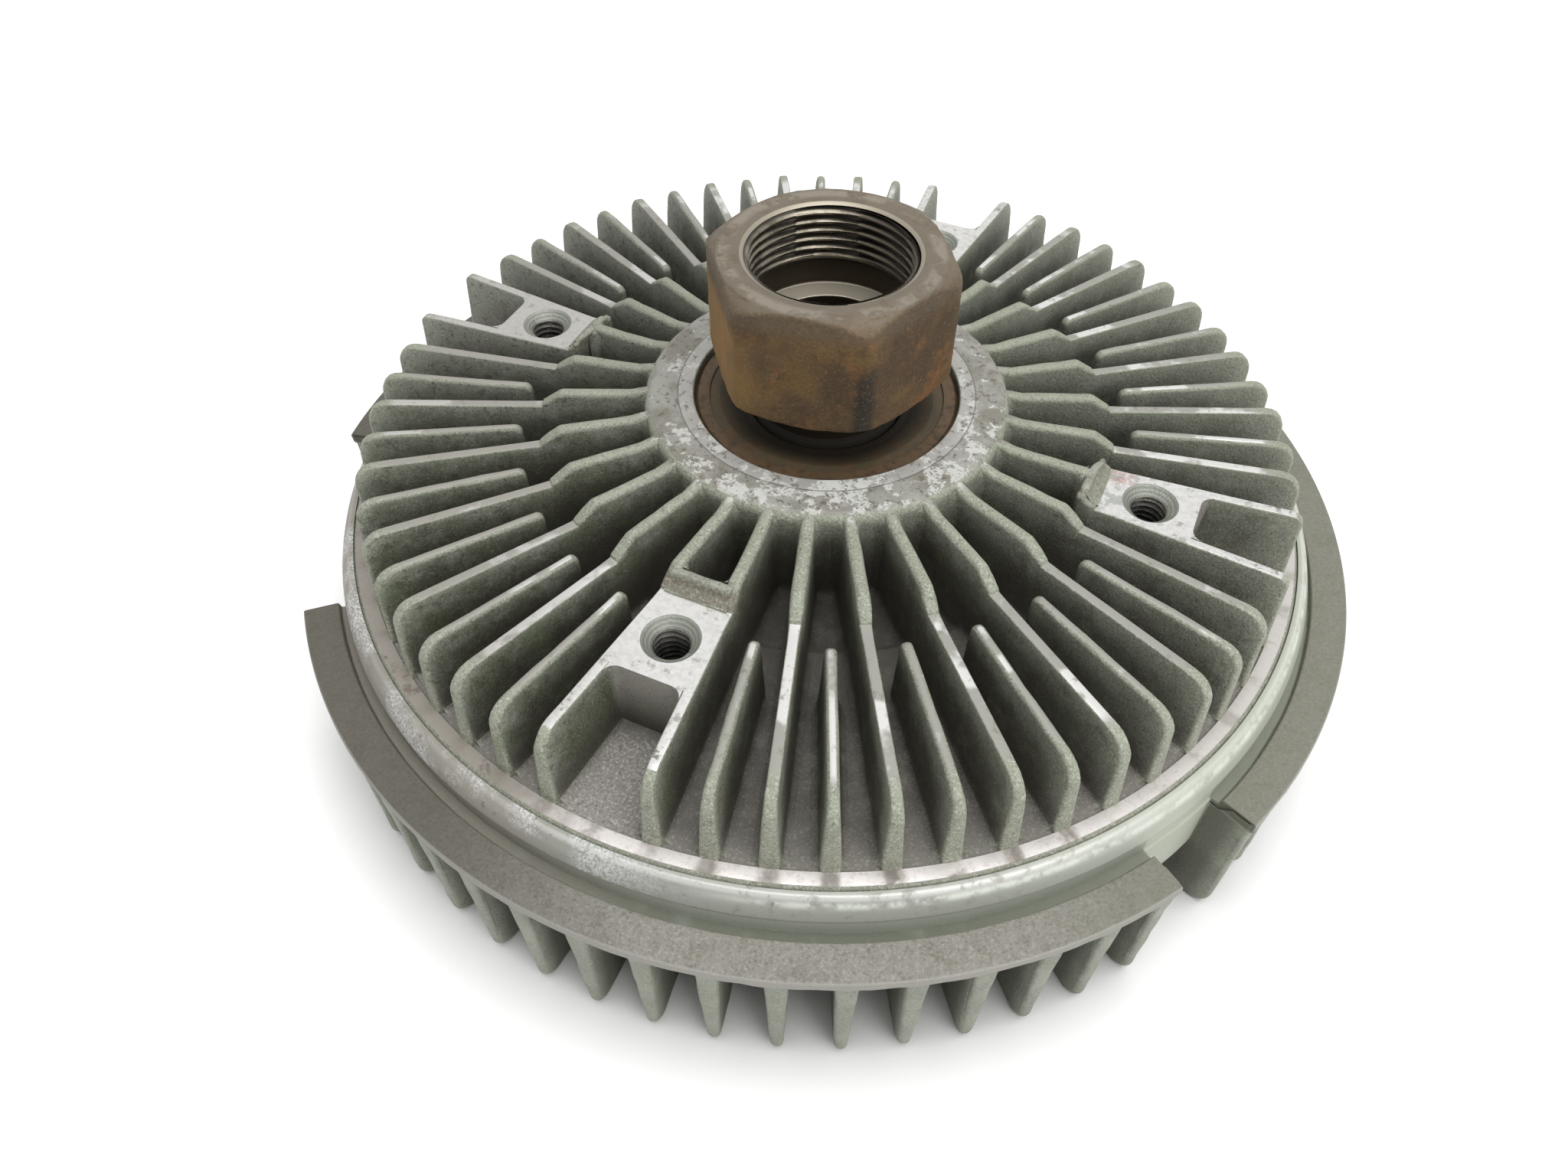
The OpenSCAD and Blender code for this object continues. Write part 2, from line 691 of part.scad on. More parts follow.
module valve_clip() {
    color("dimgray") translate([0, 0, clip_top_z - clip_t]) linear_extrude(height = clip_t) difference() {
        circle(r = clip_r);
        circle(r = clip_groove_r);
        translate([0, -clip_groove_r]) square([clip_r + lap, clip_groove_r * 2]);
    }
}

module valve_shaft_seal() {
    color("black") rotate_extrude()
        translate([valve_r + run_gap + seal_ring_gap + seal_ring_d / 2, seal_slot_z]) circle(d = seal_ring_d);
}

// Radius of the coil's middle line at an angle, counted from its inner end
function coil_r(a) = a < coil_wrap ? coil_in_r
    : coil_in_r + (coil_end_r - coil_in_r) * (a - coil_wrap) / (coil_turns * 360);
coil_total = coil_wrap + coil_turns * 360;
function coil_edge(side, angles) =
    [for (a = angles) polar(coil_r(a) + side * coil_t / 2, a - coil_total)];

module bimetal_coil() {
    da = 360 / coil_steps;
    out = [for (a = [0 : da : coil_total]) a];
    back = [for (a = [coil_total : -da : 0]) a];
    color("tan") translate([0, 0, coil_low_z]) linear_extrude(height = coil_w) {
        polygon(concat(coil_edge(1, out), coil_edge(-1, back)));
        translate([coil_end_r - coil_t / 2, -lap]) square([coil_t, coil_tail + lap]);
    }
}

rear_body();
front_cover();
cover_seal_ring();
separator_plate();
bearing_outer_ring();
bearing_rear_shield();
bearing_front_shield();
valve_shaft_seal();
bimetal_coil();
input_shaft();
bearing_inner_ring();
rotor_disc();
bearing_cage();
for (i = [1 : ball_count])
    bearing_ball(i);
valve_shaft();
valve_arm();
valve_clip();
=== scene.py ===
"""Looks of the fan clutch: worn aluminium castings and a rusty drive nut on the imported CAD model."""

import math

import bmesh
import bpy
from mathutils import Matrix, Vector, noise


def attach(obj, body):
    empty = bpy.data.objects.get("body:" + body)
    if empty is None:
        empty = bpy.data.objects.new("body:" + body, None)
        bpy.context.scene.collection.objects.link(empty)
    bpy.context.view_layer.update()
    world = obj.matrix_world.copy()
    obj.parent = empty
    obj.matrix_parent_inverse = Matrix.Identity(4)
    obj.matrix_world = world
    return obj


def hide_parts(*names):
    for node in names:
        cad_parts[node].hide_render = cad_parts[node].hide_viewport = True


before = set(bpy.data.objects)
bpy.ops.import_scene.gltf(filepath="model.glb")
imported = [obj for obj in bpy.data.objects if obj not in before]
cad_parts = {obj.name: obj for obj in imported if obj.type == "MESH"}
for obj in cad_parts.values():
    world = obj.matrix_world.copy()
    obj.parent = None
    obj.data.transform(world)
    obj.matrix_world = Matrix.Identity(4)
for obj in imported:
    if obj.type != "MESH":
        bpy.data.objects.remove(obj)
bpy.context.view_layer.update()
# Unevenness is the same in each run
noise.seed_set(4)

# Sizes of the CAD model that the pieces repeat, in millimetres
MM = 0.001
SEAM_R, SEAM_Z = 73.5, 31.2
RIM_R, BAND_R = 74.7, 71.3
HUB_R, HUB_Z, HUB_FACED_R = 27.5, 47.6, 22.4
BEARING_R, BEARING_LOW_Z, BEARING_TOP_Z, HUB_HOLE_R = 20.0, 34.8, 46.8, 16.95
CHAMBER_R, CEILING_Z, PLATE_TOP_Z, PLATE_LOW_Z = 71.1, 29.0, 20.6, 19.4
SEAL_GROOVE_R, SEAL_GROOVE_Z, SEAL_GROOVE_HALF = 73.0, 27.3, 1.05
LAND_COUNT, LAND_R, LAND_PITCH, LAND_HALF, LAND_Z = 5, 65.3, 4.0, 0.7, 26.0
PIT_R, PIT_Z, FLOOR_Z, FLOOR_EDGE_Z = 38.6, 31.6, 33.2, 30.9
FIN_STEP, FIN_TOP_Z, FIN_INNER_Z, FIN_HUB_Z = 6, 43.9, 46.5, 47.2
FIN_ROOT_T, FIN_TIP_T, FIN_INNER_T = 2.8, 1.5, 1.9
SEAT_R, RIDGE_IN_R, SHORT_FIN_R, FIN_END_R = 43.4, 40.3, 46.2, 70.7
FIN_CORNER, SIDE_FIN_CORNER = 3.4, 1.5
SEAT_STEP, SIDE_PULL, BOSS_EVERY, FACED_END_R = 0.35, 0.8, 15, 66
RIDGE_Z, RIDGE_T, RIDGE_FOOT_T, LEDGE_Z = 46.1, 1.2, 1.75, 44.45
BOSS_R, BOSS_OUT_R, SINK_R, SINK_DEPTH = 50.0, 56.6, 3.85, 1.3
HOLE_R, HOLE_CREST_R, HOLE_PITCH, HOLE_DEPTH = 3.0, 2.5, 1.0, 10.5
WALL_R, GROOVE_R, COVER_BORE_R, RESERVOIR_R = 76.3, 76.0, 74.8, 70.0
LIP_LOW_Z, LIP_CREST_R, LIP_CREST_Z, LIP_IN_R, LIP_IN_Z = 27.4, 74.55, 30.85, 73.65, 31.1
LIP_SHOULDER_R, LIP_SHOULDER_Z = 75.6, 29.6
FACE_Z, RESERVOIR_Z, VALVE_BOSS_R, VALVE_BORE_R = 12.1, 15.1, 7.85, 3.05
VALVE_BOSS_LOW_Z, VALVE_BOSS_TOP_Z = 10.1, 17.6
FLANGE_R, FLANGE_LOW_Z, FLANGE_TOP_Z, FLANGE_GROOVE_Z, FLANGE_GROOVE_R = 83.0, 23.2, 25.2, 24.1, 77.7
FLANGE_SPANS = [(222.5, 326.5), (336.5, 554.5)]
FLANGE_GAPS = [(-165.5, -137.5), (-33.5, -23.5)]
FLANGE_GAP_FINS = [33, 34, 35, 36, 55]
FLANGE_END_FINS = [32, 37, 54, 56]
FRONT_PHASE, FRONT_R, FRONT_LEAN, FRONT_CORNER = 1.5, 82.4, 0.3, 3.5
FRONT_TIP_T, FRONT_ROOT_T, FRONT_LONG_R, FRONT_SHORT_R, FRONT_SLOPE = 1.7, 3.0, 34.0, 54.0, 2.5
NUT_HALF, NUT_TURN, NUT_LOW_Z, NUT_TOP_Z = 16.0, 8.5, 52.5, 71.1
NUT_CHAMFER_R, NUT_EDGE_R, NUT_CHAMFER_RUN, NUT_CORNER_R = 15.9, 15.4, 1.732, 18.2
MOUTH_R, MOUTH_DEPTH, SOCKET_R, UNDERCUT_R = 12.6, 0.35, 12.2, 12.6
THREAD_CREST_R, THREAD_PITCH = 11.45, 1.4
UNDERCUT_Z, SOCKET_FLOOR_Z, PILOT_R, PILOT_Z = 61.8, 57.7, 9.0, 53.7
COLLAR_R, SHAFT_R, TAIL_R, ROTOR_LOW_Z, RIVET_R, RIVET_Z = 10.75, 8.5, 7.9, 22.5, 9.5, 21.0
LUG_R, LUG_W, LUG_L, LUG_SLOT_W, LUG_LOW_Z = 15.75, 5.0, 4.4, 1.2, 3.1

# Fineness of the meshes: steps along edges, faces round pieces and edges, degrees of a sharp edge
EDGE_STEP, FRONT_STEP, RIDGE_STEP, EDGE_FACES = 2.6, 2.5, 1.5, 4
BOSS_FACES, THREAD_FACES, NUT_FACES, SOCKET_FACES, INNER_FACES, SHARP = 96, 48, 288, 180, 120, 38


# Mesh tools

def mixed(a, b, share):
    return a + (b - a) * min(max(share, 0.0), 1.0)


def soften(corners, steps=5, closed=False):
    """Path of (r, z) points through corners of (r, z) or (r, z, radius), each with its radius rounded."""
    path, last = [], len(corners) - 1
    for i, corner in enumerate(corners):
        here = Vector(corner[:2])
        if len(corner) < 3 or (not closed and i in (0, last)):
            path.append(tuple(here))
            continue
        back = Vector(corners[i - 1][:2]) - here
        on = Vector(corners[(i + 1) % len(corners)][:2]) - here
        half = back.angle(on) / 2
        reach = min(corner[2] / math.tan(half), 0.48 * back.length, 0.48 * on.length)
        start, end = here + back.normalized() * reach, here + on.normalized() * reach
        centre = here + (back.normalized() + on.normalized()).normalized() * (reach / math.cos(half))
        arms = start - centre, end - centre
        sweep = arms[0].angle(arms[1])
        for k in range(steps + 1):
            share = k / steps
            arm = arms[0] * math.sin((1 - share) * sweep) + arms[1] * math.sin(share * sweep)
            path.append(tuple(centre + arm / math.sin(sweep)))
    return path


def finely(path, step):
    """The same path with points no further than step apart."""
    out = [path[0]]
    for a, b in zip(path, path[1:]):
        count = max(1, math.ceil(math.dist(a, b) / step))
        out += [(mixed(a[0], b[0], k / count), mixed(a[1], b[1], k / count)) for k in range(1, count + 1)]
    return out


def spun(point, degrees):
    turn = math.radians(degrees)
    x, y, z = point
    return (x * math.cos(turn) - y * math.sin(turn), x * math.sin(turn) + y * math.cos(turn), z)


def placed(name, data):
    obj = bpy.data.objects.new(name, data)
    bpy.context.scene.collection.objects.link(obj)
    return obj


class Form:
    """Points, in millimetres, and faces of one piece."""

    def __init__(self):
        self.points, self.faces = [], []

    def grid(self, rows, loop=False, ring=False):
        """Joins rows of points by quads. loop closes each row, and ring joins the last row to the first."""
        first, wide = len(self.points), len(rows[0])
        for row in rows:
            self.points.extend(row)
        for i in range(len(rows) - (not ring)):
            j = (i + 1) % len(rows)
            for a in range(wide - (not loop)):
                b = (a + 1) % wide
                quad = (i * wide + a, i * wide + b, j * wide + b, j * wide + a)
                self.faces.append(tuple(first + k for k in quad))

    def cap(self, ring):
        first = len(self.points)
        self.points.extend(ring)
        self.faces.append(tuple(range(first, first + len(ring))))

    def turned(self, path, steps=360, span=None, ring=True):
        """Turns a path of (r, z) round the axis, or over a span of degrees with closed ends."""
        start, end = span or (0, 360)
        count = steps if span is None else round((end - start) / 360 * steps) + 1
        angles = [start + (end - start) * k / (count if span is None else count - 1) for k in range(count)]
        self.grid([[spun((r, 0, z), a) for a in angles] for r, z in path], loop=span is None, ring=ring)
        if span:
            for a in span:
                self.cap([spun((r, 0, z), a) for r, z in path])

    def fin(self, angle, path, half, edge, foot, flare):
        """Cast fin on the edge path (r, z), with its body on the right of the path.

        half gives the half thickness, edge the edge radius, foot the foot height and flare the root fillet.
        """
        rows, sides = [], ([], [])
        for i, (r, z) in enumerate(path):
            a, b = path[max(i - 1, 0)], path[min(i + 1, len(path) - 1)]
            way = Vector((b[0] - a[0], b[1] - a[1])).normalized()
            inward = (way.y, -way.x)
            thick = half(r, z)
            round_r = min(edge(r, z), 0.96 * thick)
            row = []
            for k in range(EDGE_FACES + 1):
                lift = math.radians(90 * k / EDGE_FACES)
                depth = round_r * (1 - math.sin(lift))
                across = thick - round_r * (1 - math.cos(lift))
                row.append((r + inward[0] * depth, across, z + inward[1] * depth))
            row += [(x, -y, h) for x, y, h in reversed(row)]
            rows.append([spun(p, angle) for p in row])
            for side, sign in zip(sides, (1, -1)):
                side.append([spun(p, angle) for p in fin_side(row[0], sign, half, foot, flare(r))])
        self.grid(rows)
        for side in sides:
            self.grid(side)

    def corner(self, angle, apex, ways, radius, low, high, fade=0.0):
        """Cast fillet up the inside corner at apex, between walls along two ways, with a fade at its top."""
        here, ways = Vector(apex), [Vector(way).normalized() for way in ways]
        rows = []
        for share, z in ((1, low), (1, high - fade), (0.7, high - fade * 0.4), (0.35, high - fade * 0.1),
                         (0.1, high)):
            round_r = radius * share if fade else radius
            ends = [here + way * round_r * 4 for way in ways]
            arc = soften([ends[0], (*apex, round_r), ends[1]], 6)[1:-1]
            rows.append([spun((x, y, z), angle) for x, y in arc])
        self.grid(rows)
        self.cap([spun((*apex, high), angle)] + rows[-1])

    def threaded(self, place, crest, root, pitch, low, high, around=THREAD_FACES):
        """Helical inside thread of a hole whose axis is at place, from the height low to high."""
        rows, per_turn = [], 8
        for k in range(round((high - low) / pitch * per_turn) + 1):
            z = high - k * pitch / per_turn
            fade = min(1, (z - low + 0.01) / pitch)
            row = []
            for n in range(around):
                turn = n / around
                off = abs((z / pitch - turn) % 1 - 0.5) * 2
                r = root - (root - crest) * fade * (1 - min(max((off - 0.25) / 0.6, 0), 1))
                way = turn * math.tau
                row.append((place[0] + r * math.cos(way), place[1] + r * math.sin(way), z))
            rows.append(row)
        self.grid(rows, loop=True)

    def worn(self, amount, scale=0.35):
        """Shifts the points by cast unevenness, as much as amount says at each place."""
        moved = []
        for p in self.points:
            shift = noise.noise_vector(Vector(p) * scale) * amount(p)
            moved.append(tuple(Vector(p) + shift))
        self.points = moved

    def piece(self, name, look, body, slot, *nodes):
        """Makes the Blender object, in place of CAD nodes and riding on their body."""
        data = bpy.data.meshes.new(name)
        data.from_pydata([[c * MM for c in p] for p in self.points], [], self.faces)
        shape = bmesh.new()
        shape.from_mesh(data)
        bmesh.ops.remove_doubles(shape, verts=shape.verts, dist=1e-7)
        bmesh.ops.dissolve_degenerate(shape, edges=shape.edges, dist=1e-7)
        bmesh.ops.recalc_face_normals(shape, faces=shape.faces)
        shape.to_mesh(data)
        shape.free()
        data.shade_smooth()
        data.set_sharp_from_angle(angle=math.radians(SHARP))
        data.materials.append(look)
        obj = placed(name, data)
        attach(obj, body)
        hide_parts(*nodes)


def fin_side(top, sign, half, foot, flare):
    """Points down one side of a fin, from its edge to its root, with a cast fillet at the root."""
    r, _, z = top
    root = foot(r)
    tall = abs(z - root)
    round_r = min(flare, 0.7 * tall)
    column = [(r, sign * top[1], z)]
    for height in (0.55 * (tall + round_r), round_r, 0.55 * round_r, 0.2 * round_r, 0):
        level = mixed(root, z, height / tall if tall else 0)
        out = round_r - height
        spread = round_r - math.sqrt(round_r ** 2 - out ** 2) if out > 0 else 0
        column.append((r, sign * (half(r, level) + spread), level))
    return column


# Rear body: turned hub, floor and band, with 60 fins and four faced bosses

def floor_at(r):
    if r < PIT_R + 0.3:
        return PIT_Z - 0.15
    return mixed(FLOOR_Z, FLOOR_EDGE_Z, (r - PIT_R) / (BAND_R - PIT_R)) - 0.15


def rear_half(r, z):
    tall = z - SEAM_Z
    inner = FIN_ROOT_T + (FIN_INNER_T - FIN_ROOT_T) * tall / (FIN_HUB_Z - SEAM_Z)
    outer = FIN_ROOT_T + (FIN_TIP_T - FIN_ROOT_T) * tall / (FIN_TOP_Z - SEAM_Z)
    return mixed(inner, outer, (r - SEAT_R + 0.8) / 1.2) / 2


def long_edge(r, z):
    if r < SEAT_R:
        return mixed(0.8, 0.35, (r - RIDGE_IN_R) / 3.0)
    return mixed(0.22, 0.55, (FIN_TOP_Z - z - 0.02) / 1.2)


def root_flare(start):
    """Fillet at the root of a fin that begins at the radius start, where it runs out."""
    return lambda r: mixed(0.1, 1.5, (r - start) / 2.5)


def short_edge(r, z):
    if r < SHORT_FIN_R + 1:
        return 0.6
    return mixed(0.62, 0.55, (FIN_TOP_Z - 0.3 - z) / 3.0)


# Edges of the fins and ridges as corners of (r, z, radius)
LONG_TOP = [(HUB_R - 0.5, FIN_HUB_Z), (HUB_R + 2.2, FIN_INNER_Z + 0.05, 2.0), (RIDGE_IN_R, FIN_INNER_Z, 1.2),
            (SEAT_R - 0.1, FIN_TOP_Z + SEAT_STEP, 0.4), (SEAT_R + 0.05, FIN_TOP_Z, 0.1)]
FIN_END = [(FIN_END_R, FIN_TOP_Z, FIN_CORNER), (BAND_R, SEAM_Z + 0.5, 1.0), (BAND_R + 0.2, SEAM_Z - 0.1)]
SHORT_END = [(c[0], c[1] - 0.2 * (c[1] > SEAM_Z + 1), *c[2:]) for c in FIN_END]
SIDE_FIN_END = [(FIN_END_R, FIN_TOP_Z, SIDE_FIN_CORNER)] + FIN_END[1:]
RIDGE_FOOT = (RIDGE_IN_R, floor_at(RIDGE_IN_R))
RIDGE_TOP = [(RIDGE_IN_R, RIDGE_Z, 0.5), (RIDGE_IN_R + RIDGE_T, RIDGE_Z, 0.4),
             (RIDGE_IN_R + RIDGE_FOOT_T, LEDGE_Z + 0.4, 0.8)]


def ridge_place(r, z, share, rib):
    """Place on a ridge at a share of its half width: at a rib its ends are lower, and one swings outwards."""
    if not rib:
        return r, z
    inward = max(SEAT_R - r, 0) / (SEAT_R - RIDGE_IN_R)
    drop = max(z - FIN_TOP_Z, 0) * 0.3 * share ** 6
    return r + inward * 1.2 * max(share, 0) ** 2, z - drop


def rear_fins(form):
    long_path = finely(soften(LONG_TOP + FIN_END), EDGE_STEP)
    rib_path = finely(soften(LONG_TOP[:3] + [(SEAT_R - 0.6, FIN_TOP_Z + 0.6)]), EDGE_STEP)
    side_paths = {}
    for beside in (-1, 1):
        start = [ridge_place(*corner[:2], -beside, True) + corner[2:] for corner in [RIDGE_FOOT] + RIDGE_TOP]
        side_paths[beside] = finely(soften(start + LONG_TOP[3:] + SIDE_FIN_END), EDGE_STEP)
    short_path = finely(soften([(SHORT_FIN_R, floor_at(SHORT_FIN_R)), (SHORT_FIN_R, FIN_TOP_Z - 0.2, 1.2)]
                               + SHORT_END), EDGE_STEP)
    for i in range(360 // FIN_STEP):
        boss = i % BOSS_EVERY == 0
        beside = 1 if (i + 1) % BOSS_EVERY == 0 else -1 if (i - 1) % BOSS_EVERY == 0 else 0
        angle = i * FIN_STEP
        if i % 2 == 0:
            for sign in (-1, 1):
                form.corner(angle, (HUB_R - 0.05, sign * FIN_INNER_T / 2), ((1, 0), (-0.06, sign)), 1.7,
                            PIT_Z - 0.1, FIN_INNER_Z, 2.5)
            form.fin(angle, rib_path if boss else long_path, rear_half, long_edge, floor_at, root_flare(0))
        elif beside:
            side_path = side_paths[beside]
            form.fin(angle + beside * SIDE_PULL, side_path, rear_half, long_edge, floor_at,
                     root_flare(RIDGE_IN_R))
        elif not boss:
            form.fin(angle, short_path, rear_half, short_edge, floor_at, root_flare(SHORT_FIN_R))


def ray_to(polygon, start, angle):
    """Point where a ray from start leaves a convex polygon."""
    way = (math.cos(angle), math.sin(angle))
    best = 1e9
    for (ax, ay), (bx, by) in zip(polygon, polygon[1:] + polygon[:1]):
        ex, ey = bx - ax, by - ay
        cross = way[0] * ey - way[1] * ex
        if abs(cross) > 1e-9:
            t = ((ax - start[0]) * ey - (ay - start[1]) * ex) / cross
            if 0 < t < best:
                best = t
    return (start[0] + best * way[0], start[1] + best * way[1])


def bolt_circle(r, z, around=BOSS_FACES):
    """Points of a circle round the place of a fan bolt."""
    ways = [k / around * math.tau for k in range(around)]
    return [(BOSS_R + r * math.cos(a), r * math.sin(a), z) for a in ways]


def fan_boss(form, angle, spread, rib):
    """Faced boss between two fins, with its ridge and threaded hole, and with or without a rib to the hub."""
    slope = math.tan(math.radians(spread))
    side = FIN_TIP_T / 2 - 0.12
    outline = [(x, sign * (x * slope + side)) for sign, xs in
               ((-1, (SEAT_R, BOSS_OUT_R)), (1, (BOSS_OUT_R, SEAT_R))) for x in xs]
    top = FIN_TOP_Z + 0.006
    part = Form()
    ways = [k / BOSS_FACES * math.tau for k in range(BOSS_FACES)]
    rim = [ray_to(outline, (BOSS_R, 0), a) for a in ways]
    rows = [[(x, y, z) for x, y in rim] for z in (SEAM_Z, top - 0.12)]
    for inset in (0.003, 0.35, 0.7):
        row = []
        for a, (x, y) in zip(ways, rim):
            r = mixed(math.hypot(x - BOSS_R, y), SINK_R, inset)
            row.append((BOSS_R + r * math.cos(a), r * math.sin(a), top))
        rows.append(row)
    rows += [bolt_circle(SINK_R + 0.1, top), bolt_circle(SINK_R - 0.05, top - 0.12),
             bolt_circle(HOLE_CREST_R, FIN_TOP_Z - SINK_DEPTH)]
    part.grid(rows, loop=True)
    low = FIN_TOP_Z - HOLE_DEPTH
    part.threaded((BOSS_R, 0), HOLE_CREST_R, HOLE_R, HOLE_PITCH, low, FIN_TOP_Z - SINK_DEPTH)
    part.grid([bolt_circle(HOLE_R, low, THREAD_FACES), bolt_circle(0.05, low - 1.5, THREAD_FACES)], loop=True)
    ridge = finely(soften([RIDGE_FOOT] + RIDGE_TOP + [(SEAT_R + 0.02, FIN_TOP_Z + SEAT_STEP, 0.1),
                                                      (SEAT_R + 0.06, FIN_TOP_Z - 0.2)]), RIDGE_STEP)
    places = [[(k / 8, *ridge_place(r, z, k / 8, rib)) for k in range(-8, 9)] for r, z in ridge]
    part.grid([[(r, r * slope * share, z) for share, r, z in row] for row in places])
    for sign in (-1, 1):
        fin_way = (math.cos(math.radians(spread)), sign * math.sin(math.radians(spread)))
        part.corner(0, (BOSS_OUT_R, sign * (BOSS_OUT_R * slope - FIN_TIP_T / 2)), (fin_way, (0, -sign)), 1.8,
                    floor_at(BOSS_OUT_R), top)
        if rib:
            inner, way = (RIDGE_IN_R, sign * FIN_INNER_T / 2), ((-1, 0), (0, sign))
        else:
            inner = (RIDGE_IN_R, sign * (RIDGE_IN_R * slope - FIN_INNER_T / 2))
            way = ((-fin_way[0], -fin_way[1]), (0, -sign))
        part.corner(0, inner, way, 1.6, floor_at(RIDGE_IN_R), RIDGE_Z, 0.8)
    first = len(form.points)
    form.points.extend(spun(p, angle) for p in part.points)
    form.faces.extend(tuple(first + k for k in face) for face in part.faces)


def rear_body(look):
    form = Form()
    form.turned(soften([
        (BEARING_R, BEARING_LOW_Z), (BEARING_R, HUB_Z, 0.35), (HUB_R, HUB_Z, 1.6), (HUB_R, PIT_Z, 1.6),
        (PIT_R, PIT_Z, 0.7), (PIT_R + 0.5, FLOOR_Z, 0.8), (BAND_R, FLOOR_EDGE_Z, 0.1),
        (BAND_R + 0.05, SEAM_Z, 0.1), (SEAM_R - 0.15, SEAM_Z, 0.12), (RIM_R, SEAM_Z - 1.7, 0.3),
        (RIM_R, SEAL_GROOVE_Z + SEAL_GROOVE_HALF), (SEAL_GROOVE_R, SEAL_GROOVE_Z + SEAL_GROOVE_HALF),
        (SEAL_GROOVE_R, SEAL_GROOVE_Z - SEAL_GROOVE_HALF), (RIM_R, SEAL_GROOVE_Z - SEAL_GROOVE_HALF),
        (RIM_R, PLATE_TOP_Z), (CHAMBER_R, PLATE_TOP_Z), (CHAMBER_R, CEILING_Z, 0.8),
        (HUB_HOLE_R, CEILING_Z), (HUB_HOLE_R, BEARING_LOW_Z)], closed=True))
    for i in range(LAND_COUNT):
        mid = LAND_R - i * LAND_PITCH
        form.turned([(mid - LAND_HALF, CEILING_Z + 0.2), (mid + LAND_HALF, CEILING_Z + 0.2),
                     (mid + LAND_HALF, LAND_Z), (mid - LAND_HALF, LAND_Z)], INNER_FACES)
    rear_fins(form)
    for i in range(360 // FIN_STEP // BOSS_EVERY):
        rib = i % 2 == 0
        fan_boss(form, i * BOSS_EVERY * FIN_STEP, FIN_STEP - (SIDE_PULL if rib else 0), rib)

    def amount(p):
        r = math.hypot(p[0], p[1])
        faced = p[2] > FIN_TOP_Z - 0.3 and SEAT_R - 0.1 < r < FACED_END_R
        plain = r > BAND_R - 0.2 or p[2] > HUB_Z - 0.5 or p[2] < CEILING_Z + 0.5 or r < BEARING_R + 0.1
        return 0.0 if faced or plain else 0.1 * min(max((p[2] - FLOOR_Z - 1.3) / 3, 0), 1)

    form.worn(amount)
    form.piece("rear_body_casting", look, "housing", "cast_aluminium", "rear_body")


# Front cover: turned wall with rolled lip, flange in two lengths, and 60 fins

